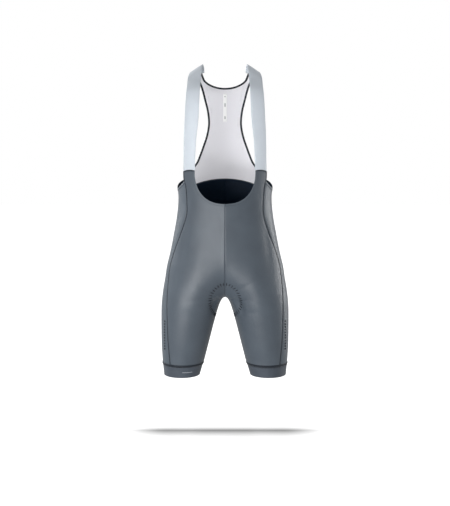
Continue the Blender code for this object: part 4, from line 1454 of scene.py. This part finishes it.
pad = replace(padPiece(), "seat_pad")
padNormals = outward(padLoop)
padLift = relief(padLoop)
padStitch = {
    "pitch": 0.0082,
    "length": 0.0118,
    "thick": 0.0021,
    "zigzag": 0.12,      # how far each stitch leans from straight across
    "lift": 0.0007,
}
zigzag = stitchMesh("padStitching_zigzag",
                    [stitchRow(padLoop + padNormals * padLift[:, None], padNormals,
                               padStitch["pitch"], padStitch["length"], padStitch["thick"],
                               slant=math.pi / 2, zigzag=padStitch["zigzag"],
                               lift=padStitch["lift"])], foldedTape)
trims["front", "left"].append(zigzag)
print("seat pad and its stitching made")

# Leg marks: a plain row of raised dots where a maker prints on the outer leg
legMarks = {
    "count": 11,
    "low": 0.080,
    "high": 0.160,
    "angle": -0.58,
    "length": 0.0056,
    "thick": 0.0052,
}
for side in ("left", "right"):
    heights = np.linspace(legMarks["low"], legMarks["high"], legMarks["count"])
    points = formPoint(heights, np.full(len(heights), legMarks["angle"]))
    if side == "right":
        points = mirrored(points)
    out = outward(points)
    points = points + out * relief(points)[:, None]
    along, across, lifted = pathFrame(points, out)
    dots = stitchMesh(f"legMarks_{side}", [(points, along, lifted, legMarks["length"],
                                            legMarks["thick"])], foldedTape)
    trims["side", side].append(dots)

# Floor, light and camera
studio = {
    "floorHeight": -1.030,
    "floorSize": 14.0,
    # a grey floor that glows white by itself; its glow is cut in a soft strip under the shorts, a
    # painted shadow, partly backed by the real shadow from the lamp above
    "floor": "#9a9a9a",
    "glow": (0.0, 1.05),         # the floor's own glow (no lamp) under the shorts, in the painted shadow strip, and away from them
    "paintedShadowSides": (0.165, 0.350),  # where the painted shadow strip under the shorts starts and stops to fade
    "paintedShadowMiddle": 0.012,          # its place, and how far it reaches to the front and the back
    "paintedShadowFront": 0.092,
    "paintedShadowBack": 0.050,
    "paintedShadowPower": 1.3,
    "roomLight": 0.38,
    # name: x, y, z, width, height, watts
    "lights": {
        "keyLeft": (-1.5, -2.8, -0.6, 1.5, 1.2, 55),
        "lowFront": (-0.45, -1.2, -0.98, 0.6, 0.2, 6.0),
        "rimRight": (2.2, 1.00, -0.4, 0.5, 1.6, 27),
        "rimLeft": (-1.1, 0.60, 0.1, 0.3, 0.3, 13),
        "upperFill": (0.9, -2.9, 0.90, 1.6, 0.8, 26),
        "backWall": (0.0, 3.2, 1.2, 2.4, 1.8, 14),
        "floorTop": (0.0, 0.03, 2.6, 0.55, 0.20, 25),
    },
    "aim": (0.0, 0.0, -0.50),
    "cameraPlace": (0.0, -2.9, -0.110),
    "cameraPitch": 82.09,
    "lens": 74.4,
    "sensor": 36.0,
}


def makeFloor():
    half = studio["floorSize"] / 2
    mesh = bpy.data.meshes.new("floor")
    mesh.from_pydata([(-half, -half, 0), (half, -half, 0), (half, half, 0), (-half, half, 0)],
                     [], [(0, 1, 2, 3)])
    made, tree, shader = startMaterial("painted_studio_floor", Metallic=0.0, Roughness=0.9,
                                       Specular_IOR_Level=0.1)
    grain = addNode(tree, "TexNoise", {"Scale": 60.0, "Detail": 2.0})
    tone = addNode(tree, "MapRange", {"Value": grain.outputs["Fac"], "To Min": 0.99,
                                      "To Max": 1.0})
    toned = addNode(tree, "VectorMath", {0: hexColour(studio["floor"])[:3],
                                         1: tone.outputs[0]}, operation="MULTIPLY")
    tree.links.new(toned.outputs[0], shader.inputs["Base Color"])
    shader.inputs["Emission Color"].default_value = (1.0, 1.0, 1.0, 1.0)
    # painted shadow: the floor's glow fades out in a soft strip under the shorts
    place = addNode(tree, "TexCoord")
    spot = addNode(tree, "SeparateXYZ", {0: place.outputs["Object"]})
    sideways = addNode(tree, "Math", {0: spot.outputs["X"]}, operation="ABSOLUTE")
    near, far = studio["paintedShadowSides"]
    middle = studio["paintedShadowMiddle"]
    fades = [addNode(tree, "MapRange", {"Value": value, "From Min": start, "From Max": end},
                     interpolation_type=kind).outputs[0]
             for value, start, end, kind in (
                 (sideways.outputs[0], far, near, "SMOOTHSTEP"),
                 (spot.outputs["Y"], middle - studio["paintedShadowFront"], middle, "LINEAR"),
                 (spot.outputs["Y"], middle + studio["paintedShadowBack"], middle, "LINEAR"))]
    depth = addNode(tree, "Math", {0: fades[1], 1: fades[2]}, operation="MULTIPLY")
    soft = addNode(tree, "Math", {0: depth.outputs[0], 1: studio["paintedShadowPower"]}, operation="POWER")
    shade = addNode(tree, "Math", {0: soft.outputs[0], 1: fades[0]}, operation="MULTIPLY")
    dim, bright = studio["glow"]
    glow = addNode(tree, "MapRange", {"Value": shade.outputs[0], "To Min": bright,
                                      "To Max": dim})
    tree.links.new(glow.outputs[0], shader.inputs["Emission Strength"])
    mesh.materials.append(made)
    floor = bpy.data.objects.new("floor", mesh)
    floor.location.z = studio["floorHeight"]
    floor.visible_diffuse = False
    floor.visible_glossy = False
    bpy.context.scene.collection.objects.link(floor)
    return floor


def makeLights(floor):
    aim = np.array(studio["aim"])
    lit = {"floorTop": bpy.data.collections.new("floorOnly"),
           "upperFill": bpy.data.collections.new("strapsAndMesh")}
    lit["floorTop"].objects.link(floor)
    for piece in bpy.context.scene.objects:
        if piece.name.startswith(("strap_", "mesh", "neckLabel")):
            lit["upperFill"].objects.link(piece)
    for name, (x, y, z, width, height, watts) in studio["lights"].items():
        lamp = bpy.data.lights.new(name, "AREA")
        lamp.shape = "RECTANGLE"
        lamp.size = width
        lamp.size_y = height
        lamp.energy = watts
        made = bpy.data.objects.new(name, lamp)
        made.location = (x, y, z)
        heading = Vector(aim - np.array([x, y, z]))
        made.rotation_euler = heading.to_track_quat("-Z", "Y").to_euler()
        bpy.context.scene.collection.objects.link(made)
        made.visible_camera = False
        if name in lit:   # one only lights the floor, one only the straps, mesh and label
            made.light_linking.receiver_collection = lit[name]


def makeRoom():
    world = bpy.data.worlds.new("softRoom")
    bpy.context.scene.world = world
    world.use_nodes = True
    tree = world.node_tree
    tree.nodes.clear()
    seen = addNode(tree, "Background", {"Color": (1, 1, 1, 1), "Strength": 1.0})
    lit = addNode(tree, "Background", {"Color": (1, 1, 1, 1), "Strength": studio["roomLight"]})
    ray = addNode(tree, "LightPath")
    both = addNode(tree, "MixShader", {0: ray.outputs["Is Camera Ray"], 1: lit.outputs[0],
                                       2: seen.outputs[0]})
    addNode(tree, "OutputWorld", {"Surface": both.outputs[0]})


def makeCamera():
    lens = bpy.data.cameras.new("camera")
    lens.lens = studio["lens"]
    lens.sensor_width = studio["sensor"]
    camera = bpy.data.objects.new("camera", lens)
    camera.location = studio["cameraPlace"]
    camera.rotation_euler = (math.radians(studio["cameraPitch"]), 0, 0)
    bpy.context.scene.collection.objects.link(camera)
    bpy.context.scene.camera = camera


makeLights(makeFloor())
makeRoom()
makeCamera()
bpy.context.scene.view_settings.view_transform = "Standard"
print("stage set")
